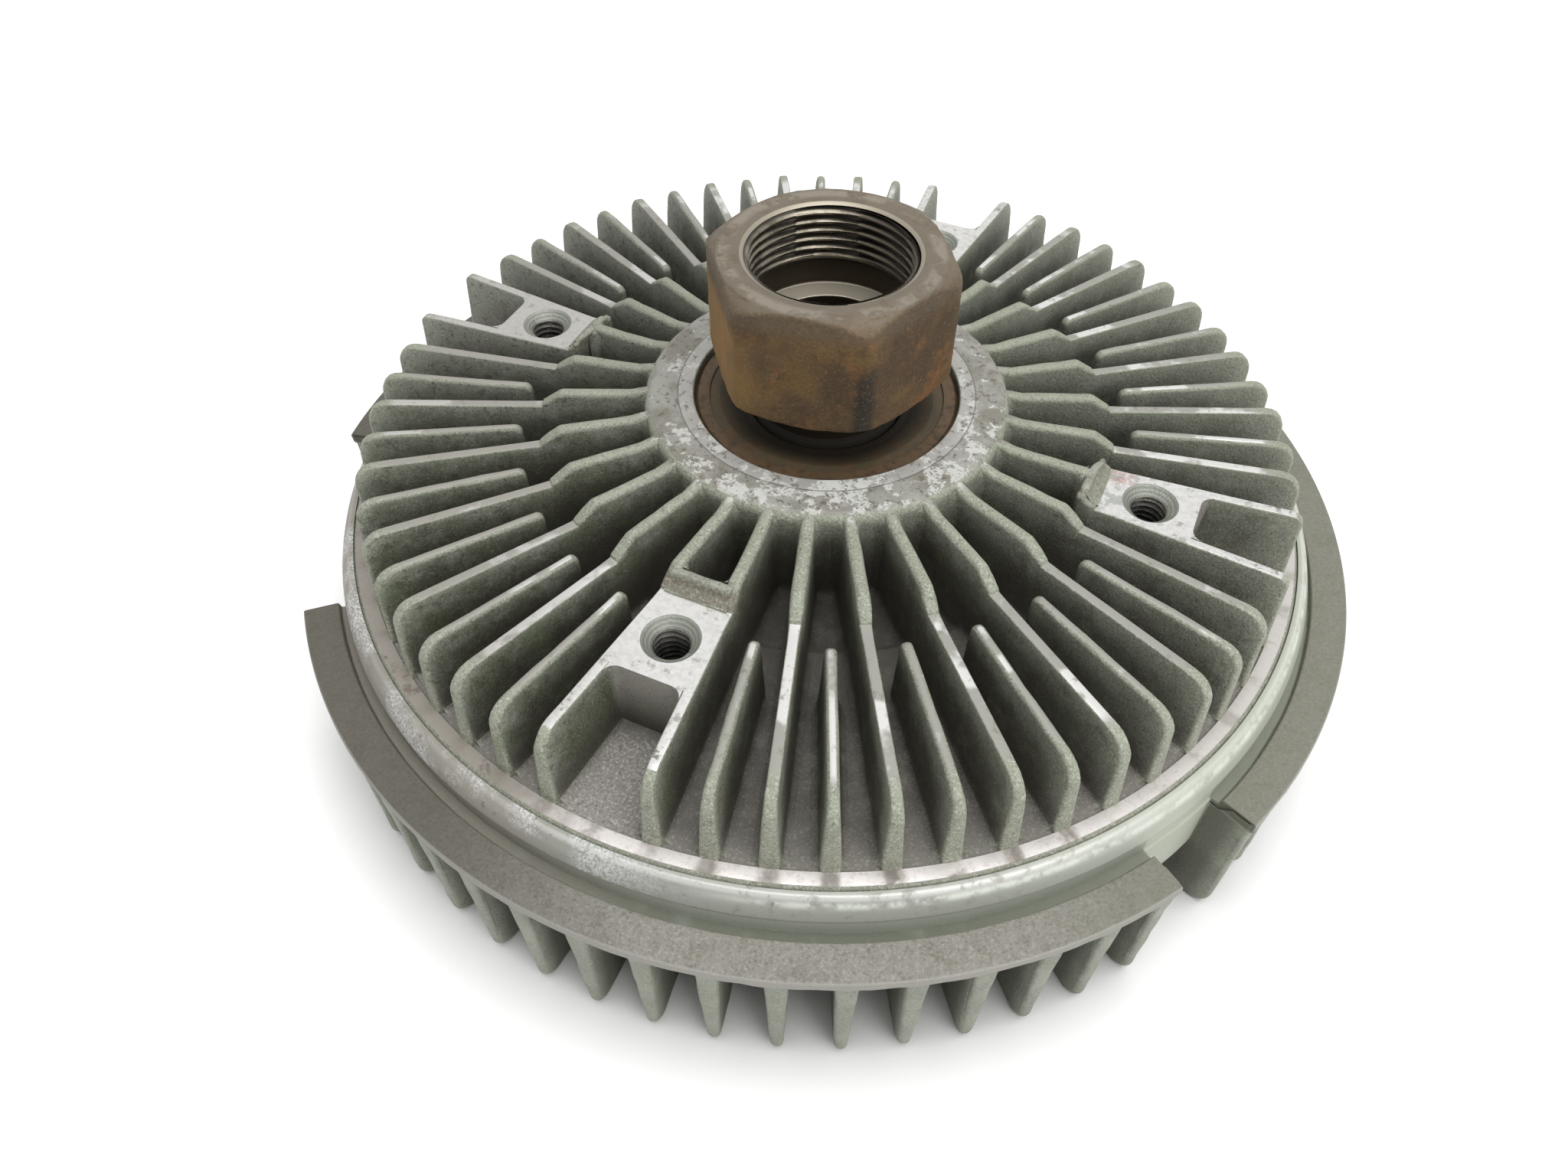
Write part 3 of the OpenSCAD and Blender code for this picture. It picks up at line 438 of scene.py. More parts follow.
def front_cover(look):
    form = Form()
    form.turned(soften([
        (VALVE_BORE_R, VALVE_BOSS_LOW_Z), (VALVE_BOSS_R, VALVE_BOSS_LOW_Z, 0.5), (VALVE_BOSS_R, FACE_Z, 0.8),
        (WALL_R, FACE_Z, 1.0), (WALL_R, FLANGE_GROOVE_Z - 0.3, 0.1), (GROOVE_R, FLANGE_GROOVE_Z, 0.1),
        (GROOVE_R, LIP_LOW_Z - 0.5, 0.4), (WALL_R, LIP_LOW_Z + 0.3, 0.6),
        (LIP_SHOULDER_R, LIP_SHOULDER_Z, 4.0), (LIP_CREST_R, LIP_CREST_Z, 0.7), (LIP_IN_R, LIP_IN_Z, 0.1),
        (COVER_BORE_R, SEAM_Z - 1.7), (COVER_BORE_R, PLATE_LOW_Z), (RESERVOIR_R, PLATE_LOW_Z),
        (RESERVOIR_R, RESERVOIR_Z, 1.0), (VALVE_BOSS_R, RESERVOIR_Z, 1.0), (VALVE_BOSS_R, VALVE_BOSS_TOP_Z),
        (VALVE_BORE_R, VALVE_BOSS_TOP_Z)], closed=True))
    flange = soften([(GROOVE_R - 0.2, FLANGE_GROOVE_Z), (FLANGE_GROOVE_R - 0.2, FLANGE_GROOVE_Z, 0.3),
                     (FLANGE_GROOVE_R, FLANGE_TOP_Z, 0.3), (FLANGE_R - 0.1, FLANGE_TOP_Z, 0.4),
                     (FLANGE_R - 0.1, FLANGE_LOW_Z, 0.35), (GROOVE_R - 0.2, FLANGE_LOW_Z)])
    for span in FLANGE_SPANS:
        form.turned(flange, span=span)

    def half(r, z):
        return (FRONT_TIP_T + (FRONT_ROOT_T - FRONT_TIP_T) * z / FLANGE_LOW_Z) / 2

    def edge(r, z):
        return mixed(1.0, 0.55, (z - 2) / 8)

    def foot(r):
        return FLANGE_LOW_Z + 0.15 if r > WALL_R else FACE_Z + 0.15

    def cut_foot(r):
        return FACE_Z + 0.15

    def end_foot(r):
        return FLANGE_TOP_Z - 0.4 if r > FLANGE_GROOVE_R + 0.3 else foot(r)

    for i in range(360 // FIN_STEP):
        inner_r = FRONT_SHORT_R if i % 2 else FRONT_LONG_R
        inner = [(inner_r + FRONT_SLOPE, 0, 1.5), (inner_r, FACE_Z + 0.2)]
        if i in FLANGE_GAP_FINS:
            path = [(WALL_R, FACE_Z + 0.2), (WALL_R, 0, 0.6)] + inner
        else:
            high = FLANGE_TOP_Z - 0.35 if i in FLANGE_END_FINS else FLANGE_LOW_Z + 0.2
            path = [(FRONT_R + FRONT_LEAN, high), (FRONT_R, FACE_Z), (FRONT_R, 0, FRONT_CORNER),
                    (WALL_R + 0.02, 0), (WALL_R - 0.02, 0)] + inner
        root = cut_foot if i in FLANGE_GAP_FINS else end_foot if i in FLANGE_END_FINS else foot
        form.fin(FRONT_PHASE + i * FIN_STEP, finely(soften(path, 6), FRONT_STEP), half, edge, root,
                 lambda r: 0.2)
    half_w, half_slot = LUG_W / 2, LUG_SLOT_W / 2
    lug = [(LUG_R - half_w, 0), (LUG_R + half_w, 0), (LUG_R + half_w, LUG_L), (LUG_R - half_w, LUG_L)]
    slot = [(LUG_R + half_slot, 0), (LUG_R + half_slot, LUG_L - 0.5),
            (LUG_R - half_slot, LUG_L - 0.5), (LUG_R - half_slot, 0)]
    ring = lug[:1] + slot[::-1] + lug[1:]
    form.grid([[(x, y, z) for x, y in ring] for z in (FACE_Z + 0.3, LUG_LOW_Z)], loop=True)
    form.cap([(x, y, LUG_LOW_Z) for x, y in ring])

    def amount(p):
        r = math.hypot(p[0], p[1])
        return 0.14 if p[2] < FLANGE_TOP_Z - 0.5 and r > FRONT_LONG_R and 0.3 < p[2] else 0.0

    form.worn(amount)
    form.piece("front_cover_casting", look, "housing", "cast_aluminium", "front_cover")


# Drive nut and shaft in one piece: rounded hexagon, threaded socket, neck and riveted tail

def smooth_least(a, b, soft):
    share = min(max(0.5 + (b - a) / (2 * soft), 0), 1)
    return mixed(b, a, share) - soft * share * (1 - share)


def nut_radius(degrees, z):
    """Worn outside of the nut at an angle and a height."""
    off = (degrees - NUT_TURN) % 60 - 30
    r = smooth_least(NUT_HALF / math.cos(math.radians(off)), NUT_CORNER_R, 0.8)
    r = smooth_least(r, NUT_CHAMFER_R + (NUT_TOP_Z - z) * NUT_CHAMFER_RUN, 0.5)
    return smooth_least(r, NUT_EDGE_R + (z - NUT_LOW_Z) * NUT_CHAMFER_RUN, 0.4)


def input_shaft(look):
    form = Form()
    angles = [360 * k / NUT_FACES for k in range(NUT_FACES)]
    heights = [0, 0.06, 0.16, 0.3, 0.5, 0.75, 1.0, 1.3, 1.7, 2.2]
    tall = NUT_TOP_Z - NUT_LOW_Z
    middle = [heights[-1] + (tall - 2 * heights[-1]) * k / 8 for k in range(1, 8)]
    levels = heights + middle + [tall - h for h in reversed(heights)]
    rows = [[spun((COLLAR_R, 0, NUT_LOW_Z), a) for a in angles]]
    rows += [[spun((nut_radius(a, NUT_LOW_Z + h), 0, NUT_LOW_Z + h), a) for a in angles] for h in levels]
    for share, drop in ((0.3, 0.0), (0.7, 0.0), (0.95, 0.0), (1.0, 0.03)):
        radii = [mixed(nut_radius(a, NUT_TOP_Z), MOUTH_R, share) for a in angles]
        rows.append([spun((r, 0, NUT_TOP_Z - drop), a) for r, a in zip(radii, angles)])
    rows.append([spun((SOCKET_R - 0.1, 0, NUT_TOP_Z - MOUTH_DEPTH), a) for a in angles])
    form.grid(rows, loop=True)
    form.threaded((0, 0), THREAD_CREST_R, SOCKET_R, THREAD_PITCH, UNDERCUT_Z, NUT_TOP_Z - MOUTH_DEPTH,
                  SOCKET_FACES)
    form.turned(soften([
        (SOCKET_R, UNDERCUT_Z), (UNDERCUT_R, UNDERCUT_Z - 0.2), (UNDERCUT_R, SOCKET_FLOOR_Z, 0.5),
        (PILOT_R, SOCKET_FLOOR_Z, 0.3), (PILOT_R, PILOT_Z, 0.6), (0.05, PILOT_Z)]), SOCKET_FACES, ring=False)
    form.turned(soften([
        (COLLAR_R, NUT_LOW_Z), (COLLAR_R, BEARING_TOP_Z), (SHAFT_R, BEARING_TOP_Z), (SHAFT_R, BEARING_LOW_Z),
        (TAIL_R, BEARING_LOW_Z), (TAIL_R, ROTOR_LOW_Z), (RIVET_R, ROTOR_LOW_Z, 0.3),
        (RIVET_R - 0.8, RIVET_Z, 0.4), (0.05, RIVET_Z)]), INNER_FACES, ring=False)

    def amount(p):
        r = math.hypot(p[0], p[1])
        return 0.12 if r > MOUTH_R + 1 and NUT_LOW_Z < p[2] < NUT_TOP_Z - 0.12 else 0.0

    form.worn(amount, 0.5)
    form.piece("input_shaft_turned", look, "drive", "rusty_steel", "input_shaft")


# Materials

# How far down from the fins' edges their wear and painted highlight fade into the painted shade and grime of
# their flanks
FIN_WEAR_AND_SHADE = 5.0
# Turn of the photograph's view, and its ways to the left and front, along which the castings are drawn darker
# or lighter
PHOTO_TURN = 21.7
LEFT = spun((1, 0, 0), 180 + PHOTO_TURN)
FRONT = spun((1, 0, 0), 270 + PHOTO_TURN)
# Sockets of a Mix node: share, first, second and result
MIX_SOCKETS = {"FLOAT": (0, 2, 3, 0), "RGBA": (0, 6, 7, 2)}


def linear(value):
    """Linear share of an 8-bit display value."""
    share = value / 255
    return share / 12.92 if value < 11 else ((share + 0.055) / 1.055) ** 2.4


def tone(red, green, blue):
    return (linear(red), linear(green), linear(blue), 1)


def give(tree, socket, value):
    if isinstance(value, bpy.types.NodeSocket):
        tree.links.new(value, socket)
    else:
        socket.default_value = value


def add_node(tree, kind, **values):
    """New node: lower-case names are its settings, the others its sockets, with _ for a space."""
    node = tree.nodes.new(kind)
    for name, value in values.items():
        if name[0].islower():
            setattr(node, name, value)
        else:
            give(tree, node.inputs[name.replace("_", " ")], value)
    return node


def add_math(tree, operation, *values):
    node = add_node(tree, "ShaderNodeMath", operation=operation)
    for socket, value in zip(node.inputs, values):
        give(tree, socket, value)
    return node.outputs[0]


class Look:
    """Layered node material on positions in millimetres. Colours are 8-bit display values."""

    def __init__(self, name, colour, rough, metal):
        self.mat = bpy.data.materials.new(name)
        self.mat.use_nodes = True
        self.tree = self.mat.node_tree
        self.shader = self.tree.nodes["Principled BSDF"]
        where = self.add("ShaderNodeTexCoord").outputs["Object"]
        in_mm = self.add("ShaderNodeVectorMath", operation="SCALE", Vector=where, Scale=1 / MM)
        self.place = in_mm.outputs[0]
        parts = self.add("ShaderNodeSeparateXYZ", Vector=self.place)
        self.x, self.y, self.z = parts.outputs
        flat = self.add("ShaderNodeCombineXYZ", X=self.x, Y=self.y)
        self.r = self.add("ShaderNodeVectorMath", operation="LENGTH", Vector=flat.outputs[0]).outputs["Value"]
        facing = self.add("ShaderNodeNewGeometry").outputs["True Normal"]
        self.up = self.add("ShaderNodeSeparateXYZ", Vector=facing).outputs["Z"]
        self.turn = self.math("DEGREES", self.math("ARCTAN2", self.y, self.x))
        self.side = self.scaled(self.x, LEFT[0], self.both(self.y, LEFT[1]))
        self.front = self.scaled(self.x, FRONT[0], self.both(self.y, FRONT[1]))
        self.colour, self.rough, self.metal = tone(*colour), rough, metal

    def add(self, kind, **values):
        return add_node(self.tree, kind, **values)

    def math(self, operation, *values):
        return add_math(self.tree, operation, *values)

    def inverse(self, mask):
        return self.math("SUBTRACT", 1.0, mask)

    def scaled(self, value, by, plus):
        return self.math("MULTIPLY_ADD", value, by, plus)

    def both(self, *masks):
        total = masks[0]
        for mask in masks[1:]:
            total = self.math("MULTIPLY", total, mask)
        return total

    def either(self, a, b):
        return self.math("MAXIMUM", a, b)

    def rise(self, value, low, high):
        """0 below low to 1 above high, or the other way round where low is above high."""
        ends = (0.0, 1.0) if low < high else (1.0, 0.0)
        node = self.add("ShaderNodeMapRange", interpolation_type="SMOOTHSTEP", Value=value,
                        From_Min=min(low, high), From_Max=max(low, high), To_Min=ends[0], To_Max=ends[1])
        return node.outputs[0]

    def between(self, value, low, high, soft):
        return self.both(self.rise(value, low - soft, low + soft), self.rise(value, high + soft, high - soft))

    def noise(self, scale, detail, rough, shift=0.0):
        at = self.place
        if shift:
            at = self.add("ShaderNodeVectorMath", operation="ADD", Vector=at).outputs[0]
            at.node.inputs[1].default_value = (shift, shift * 0.7, shift * 1.3)
        node = self.add("ShaderNodeTexNoise", Vector=at, Scale=scale, Detail=detail, Roughness=rough)
        return node.outputs["Fac"]

    def patches(self, low, high, *pattern):
        """Noise of a pattern, as rise gives it between low and high."""
        return self.rise(self.noise(*pattern), low, high)

    def comb(self, step):
        """Distance round the circle, in millimetres, to the nearest multiple of step degrees."""
        turn = self.math("FLOORED_MODULO", self.turn, step)
        off = self.math("ABSOLUTE", self.math("SUBTRACT", turn, step / 2))
        return self.both(self.math("SUBTRACT", step / 2, off), self.r, math.radians(1))

    def hidden(self, distance):
        """1 in corners and pockets, 0 in the open, by ambient occlusion, for layers of painted shade and
        dirt.
        """
        node = self.add("ShaderNodeAmbientOcclusion", samples=6, Distance=distance * MM)
        return self.inverse(node.outputs["AO"])

    def mix(self, kind, *values):
        node = self.add("ShaderNodeMix", data_type=kind)
        *places, result = MIX_SOCKETS[kind]
        for place, value in zip(places, values):
            give(self.tree, node.inputs[place], value)
        return node.outputs[result]

    def layer(self, mask, colour, rough=None, metal=None):
        """Lays a colour over the layers before it, as far as a mask, or the product of several, says."""
        if isinstance(mask, tuple):
            mask = self.both(*mask)
        self.colour = self.mix("RGBA", mask, self.colour, tone(*colour))
        if rough is not None:
            self.rough = self.mix("FLOAT", mask, self.rough, rough)
        if metal is not None:
            self.metal = self.mix("FLOAT", mask, self.metal, metal)

    def done(self, height, depth):
        """Joins the layers to the shader, with a bump of depth millimetres."""
        bump = self.add("ShaderNodeBump", Height=height, Distance=depth * MM, Strength=1.0)
        ends = {"Base Color": self.colour, "Roughness": self.rough, "Metallic": self.metal,
                "Normal": bump.outputs[0]}
        for name, value in ends.items():
            give(self.tree, self.shader.inputs[name], value)
        return self.mat


def cast_base(name):
    """Grey sand-cast aluminium with fine grain and soft cloudy patches."""
    look = Look(name, (146, 149, 135), 0.62, 0.12)
    look.grain = look.noise(2.6, 3, 0.65)
    look.layer(look.patches(0.42, 0.66, 0.12, 4, 0.6), (162, 165, 151))
    look.layer((look.rise(look.grain, 0.52, 0.74), 0.5), (196, 198, 186))
    look.layer((look.rise(look.grain, 0.46, 0.3), 0.5), (102, 101, 86))
    return look


def rear_look():
    """Rear casting: floor, fins, boss pockets and ridges, faced seats and holes, hub and machined band."""
    look = cast_base("cast_aluminium_rear")
    rise, between, both, patches, layer = look.rise, look.between, look.both, look.patches, look.layer
    r, z, up, side, front = look.r, look.z, look.up, look.side, look.front
    level = rise(up, 0.9, 0.98)
    low = rise(z, FLOOR_Z + 2.5, FLOOR_Z + 0.5)
    layer((low, 0.8), (132, 127, 122))
    layer((low, rise(look.grain, 0.54, 0.68), 0.6), (188, 183, 178))

    raised = both(rise(r, SEAT_R, RIDGE_IN_R), FIN_INNER_Z - FIN_TOP_Z)
    over = look.either(look.math("SUBTRACT", z, look.math("ADD", raised, FIN_TOP_Z - FIN_WEAR_AND_SHADE)), 0.0)
    beyond = look.either(look.math("SUBTRACT", r, FIN_END_R - FIN_WEAR_AND_SHADE), 0.0)
    reach = look.math("SQRT", look.scaled(over, over, both(beyond, beyond)))
    inset = look.math("SUBTRACT", FIN_WEAR_AND_SHADE, reach)
    steep = rise(up, 0.7, 0.4)
    off_floor = look.inverse(both(low, level))
    # Share towards the left, where the fins are drawn darker
    to_left = rise(side, -15, 40)
    near_edge = rise(look.scaled(to_left, 0.5, inset), 1.5, 0.1)
    mottled = patches(0.3, 0.6, 0.35, 4, 0.65, 27)
    # Lighter fin edges: partly wear, partly painted highlight
    layer((off_floor, near_edge, look.scaled(mottled, 0.35, 0.5)), (164, 168, 149), 0.6, 0.15)
    # Share towards the front, where the painted shade on the flanks is strongest
    ahead = look.scaled(rise(front, -30, 35), 0.85, 0.15)
    # Pale dust and painted light on the steep flanks at the back left
    dust_and_painted_light = both(rise(front, 22, -25), rise(side, 0, 40))
    layer((steep, dust_and_painted_light, 0.6), (176, 176, 167))
    # Darker flanks deep below the edges: painted shade and grime, heavier on the left and towards the front
    deep_shade_share = look.scaled(rise(side, -50, 0), 0.3, 0.35)
    layer((steep, rise(inset, 1.8, 4.9), ahead, deep_shade_share), (94, 95, 77), 0.7, 0.05)
    layer((steep, rise(inset, 0.1, 2.0), to_left, mottled, ahead, 0.8), (92, 98, 75))
    smudged = patches(0.48, 0.66, 0.18, 4, 0.65, 93)
    layer((steep, rise(inset, 0.3, 1.5), smudged, rise(front, -10, 30), 0.5), (70, 65, 53), 0.7, 0.0)
    mossy = patches(0.5, 0.64, 0.16, 4, 0.65, 51)
    layer((steep, to_left, mossy, ahead, 0.4), (98, 112, 72))
    specked = patches(0.54, 0.64, 0.7, 4, 0.7, 35)
    layer((steep, to_left, specked, 0.5), (66, 63, 48), 0.7, 0.0)
    crusty = patches(0.53, 0.62, 2.4, 4, 0.7, 19)
    layer((off_floor, near_edge, crusty, rise(front, 0, 30), 0.6), (216, 216, 208))
    fine = look.noise(3.6, 3, 0.65, 57)
    layer((off_floor, rise(fine, 0.52, 0.7), 0.4), (202, 206, 188))
    layer((off_floor, rise(fine, 0.48, 0.33), 0.45), (72, 74, 56))
    layer((off_floor, patches(0.6, 0.7, 1.0, 4, 0.7, 81), 0.5), (64, 62, 52))
    # Dark dirt and painted shade in corners and pockets, where occlusion meets dirt patches
    dirt = patches(0.2, 0.6, 0.3, 4, 0.65, 90)
    layer((rise(look.hidden(14), 0.45, 1.0), dirt, 0.85), (66, 61, 54), 0.75, 0.0)
    # Painted shade deep between the fins near the hub
    inner = both(rise(r, 58, 40), rise(z, 45.0, 36))
    layer((inner, 0.65), (60, 56, 48), 0.75, 0.0)
    # Painted shadow at the roots of the fins near the band, on the left and at the front right
    root_shade = both(steep, rise(z, FLOOR_Z + 6.8, FLOOR_Z - 0.2), rise(r, BAND_R - 0.1, BAND_R - 1.1))
    shaded = look.either(to_left, both(rise(front, 20, 50), rise(side, 2, -25), 0.7))
    layer((root_shade, shaded, ahead, 0.72), (54, 50, 42), 0.75, 0.0)

    aside = look.math("MINIMUM", look.math("ABSOLUTE", look.x), look.math("ABSOLUTE", look.y))
    along = look.either(look.math("ABSOLUTE", look.x), look.math("ABSOLUTE", look.y))
    painted_light_wall = both(steep, between(along, BOSS_OUT_R - 0.15, BOSS_OUT_R + 0.9, 0.1), rise(aside, 5.2, 4.4))
    pocket = both(low, level, rise(aside, 5.2, 4.2), rise(along, BOSS_OUT_R, BOSS_OUT_R + 3.0))
    layer((pocket, 0.4), (166, 162, 158))
    layer((pocket, rise(look.grain, 0.52, 0.66), 0.6), (200, 196, 192))
    layer((pocket, rise(look.grain, 0.45, 0.34), 0.6), (98, 92, 87))
    # Painted light on the steep walls behind the bosses, with grain
    layer((painted_light_wall, rise(z, 32, 42), 0.85), (168, 164, 157), 0.6, 0.1)
    layer((painted_light_wall, rise(look.grain, 0.47, 0.36), 0.4), (104, 98, 88))
    ridge = both(rise(aside, 5.7, 5.1), between(r, RIDGE_IN_R, SEAT_R, 0.05),
                 rise(z, FIN_TOP_Z + 0.1, FIN_TOP_Z + 0.3))
    layer((ridge, 0.7), (132, 132, 117), 0.6, 0.1)
    slope = both(ridge, rise(z, RIDGE_Z - 0.3, RIDGE_Z - 0.9), rise(front, 20, 32))
    layer((slope, 0.7), (120, 113, 99), 0.65, 0.1)
    crest = both(ridge, rise(z, RIDGE_Z - 0.6, RIDGE_Z - 0.1))
    layer((crest, mottled, 0.6), (178, 180, 168), 0.5, 0.2)
    layer((ridge, rise(look.grain, 0.5, 0.68), 0.5), (188, 189, 178))
    layer((ridge, rise(look.grain, 0.47, 0.34), 0.5), (82, 79, 66))
    near_boss = rise(aside, 8.6, 8.0)
    seat_end = look.either(rise(r, FACED_END_R + 1.5, FACED_END_R - 1.0),
                           both(near_boss, rise(r, FIN_END_R - 0.9, FIN_END_R - 1.5)))
    seat = both(level, between(z, FIN_TOP_Z - 0.3, FIN_TOP_Z + 0.15, 0.08),
                rise(r, SEAT_R - 0.1, SEAT_R + 0.1), seat_end)
    layer(seat, (164, 163, 155), 0.48, 0.2)
    rubbed = look.either(patches(0.52, 0.58, 0.07, 4, 0.6, 15), near_boss)
    layer((seat, rubbed), (224, 223, 220), 0.36, 0.3)
    milled = patches(0.4, 0.62, 1.4, 2, 0.5, 38)
    layer((seat, near_boss, milled, 0.4), (190, 190, 187), 0.45, 0.3)
    across = look.math("SUBTRACT", r, BOSS_R)
    off_hole = look.math("SQRT", look.scaled(across, across, both(aside, aside)))
    hole = both(rise(off_hole, SINK_R + 0.3, SINK_R + 0.1), rise(z, 30, 33))
    layer((hole, rise(up, 0.98, 0.9)), (156, 159, 149), 0.42, 0.3)
    cut_rings = rise(look.math("FLOORED_MODULO", z, 0.42), 0.12, 0.24)
    layer((hole, rise(up, 0.98, 0.9), cut_rings, 0.45), (98, 99, 90), 0.42, 0.3)
    layer((hole, rise(z, FIN_TOP_Z - 0.9, FIN_TOP_Z - 1.6)), (104, 102, 95), 0.32, 0.6)
    # Painted shade deep in the bolt holes
    layer((hole, rise(z, FIN_TOP_Z - 1.5, FIN_TOP_Z - 5.0)), (26, 24, 21), 0.5, 0.3)
    stain = patches(0.56, 0.68, 0.5, 5, 0.7, 5)
    layer((seat, stain, 0.6), (122, 115, 101), 0.6, 0.1)
    chipped = both(patches(0.54, 0.62, 0.9, 5, 0.75, 23), rise(r, 58, 67))
    layer((seat, near_boss, chipped, 0.75), (86, 80, 68), 0.65, 0.0)
    damp = rise(look.scaled(rise(r, 49, 43.5), 0.14, look.noise(0.45, 4, 0.65, 48)), 0.56, 0.68)
    layer((seat, near_boss, damp, rise(side, 5, -20), 0.6), (142, 150, 138), 0.55, 0.1)
    layer((seat, rise(side, 20, 45), 0.55), (160, 156, 147), 0.55, 0.1)
    away = look.add("ShaderNodeVectorMath", operation="DISTANCE", Vector=look.place)
    away.inputs[1].default_value = (45.2, 3.4, FIN_TOP_Z)
    red = both(rise(away.outputs["Value"], 3.0, 0.8), patches(0.4, 0.6, 0.9, 4, 0.7, 3))
    layer((seat, red, 0.6), (170, 112, 100), 0.6, 0.1)

    hub = both(rise(up, 0.75, 0.95), rise(z, HUB_Z - 0.9, HUB_Z - 0.4))
    faced = both(hub, rise(r, HUB_FACED_R + 0.2, HUB_FACED_R - 0.2))
    layer(hub, (166, 165, 158), 0.55, 0.2)
    layer((hub, patches(0.42, 0.62, 0.16, 4, 0.6, 21), 0.8), (132, 129, 117), 0.6, 0.1)
    layer((faced, 0.7), (190, 189, 184), 0.4, 0.4)
    # Painted highlight on the front of the faced ring
    layer((faced, rise(front, 12, 20), 0.6), (212, 211, 206), 0.36, 0.4)
    spread = look.scaled(rise(front, -4, 24), 0.09, look.noise(0.2, 5, 0.72, 60))
    oxide = both(rise(spread, 0.575, 0.62), patches(0.38, 0.46, 1.1, 4, 0.7, 33))
    layer((hub, oxide, 0.8), (226, 227, 222), 0.6, 0.0)
    layer((hub, patches(0.54, 0.62, 0.8, 5, 0.75, 44), 0.8), (104, 98, 85), 0.6, 0.1)
    layer((hub, between(r, HUB_FACED_R - 0.1, HUB_FACED_R + 0.1, 0.05), 0.6), (96, 90, 78))

    band = both(level, between(r, BAND_R + 0.1, SEAM_R - 0.2, 0.06), rise(z, SEAM_Z + 0.8, SEAM_Z + 0.4))
    layer(band, (226, 221, 218), 0.36, 0.4)
    layer((band, patches(0.5, 0.68, 0.9, 5, 0.75, 70), 0.5), (176, 167, 158), 0.5, 0.2)
    foot = rise(look.comb(FIN_STEP), 2.2, 0.4)
    layer((band, foot, patches(0.43, 0.6, 0.22, 4, 0.65, 7), 0.6), (126, 116, 104), 0.6, 0.1)
    struck = both(rise(look.comb(FIN_STEP), 1.5, 0.7), patches(0.5, 0.56, 0.17, 3, 0.6, 47),
                  look.scaled(mottled, 0.6, 0.4))
    layer((band, struck, rise(side, 30, 5), 0.6), (102, 94, 84), 0.6, 0.1)
    filthy = rise(look.scaled(look.noise(0.12, 4, 0.6, 14), 24, side), 38, 50)
    layer((band, filthy, 0.85), (146, 139, 128), 0.65, 0.05)
    layer((band, filthy, patches(0.56, 0.66, 0.2, 5, 0.7, 36), 0.6), (98, 80, 70), 0.7, 0.0)
    layer((band, rise(side, -25, -60), 0.6), (192, 188, 182), 0.45, 0.3)
    smooth = look.inverse(look.either(seat, look.either(band, faced)))
    return look.done(both(look.grain, look.either(smooth, 0.15)), 0.13)


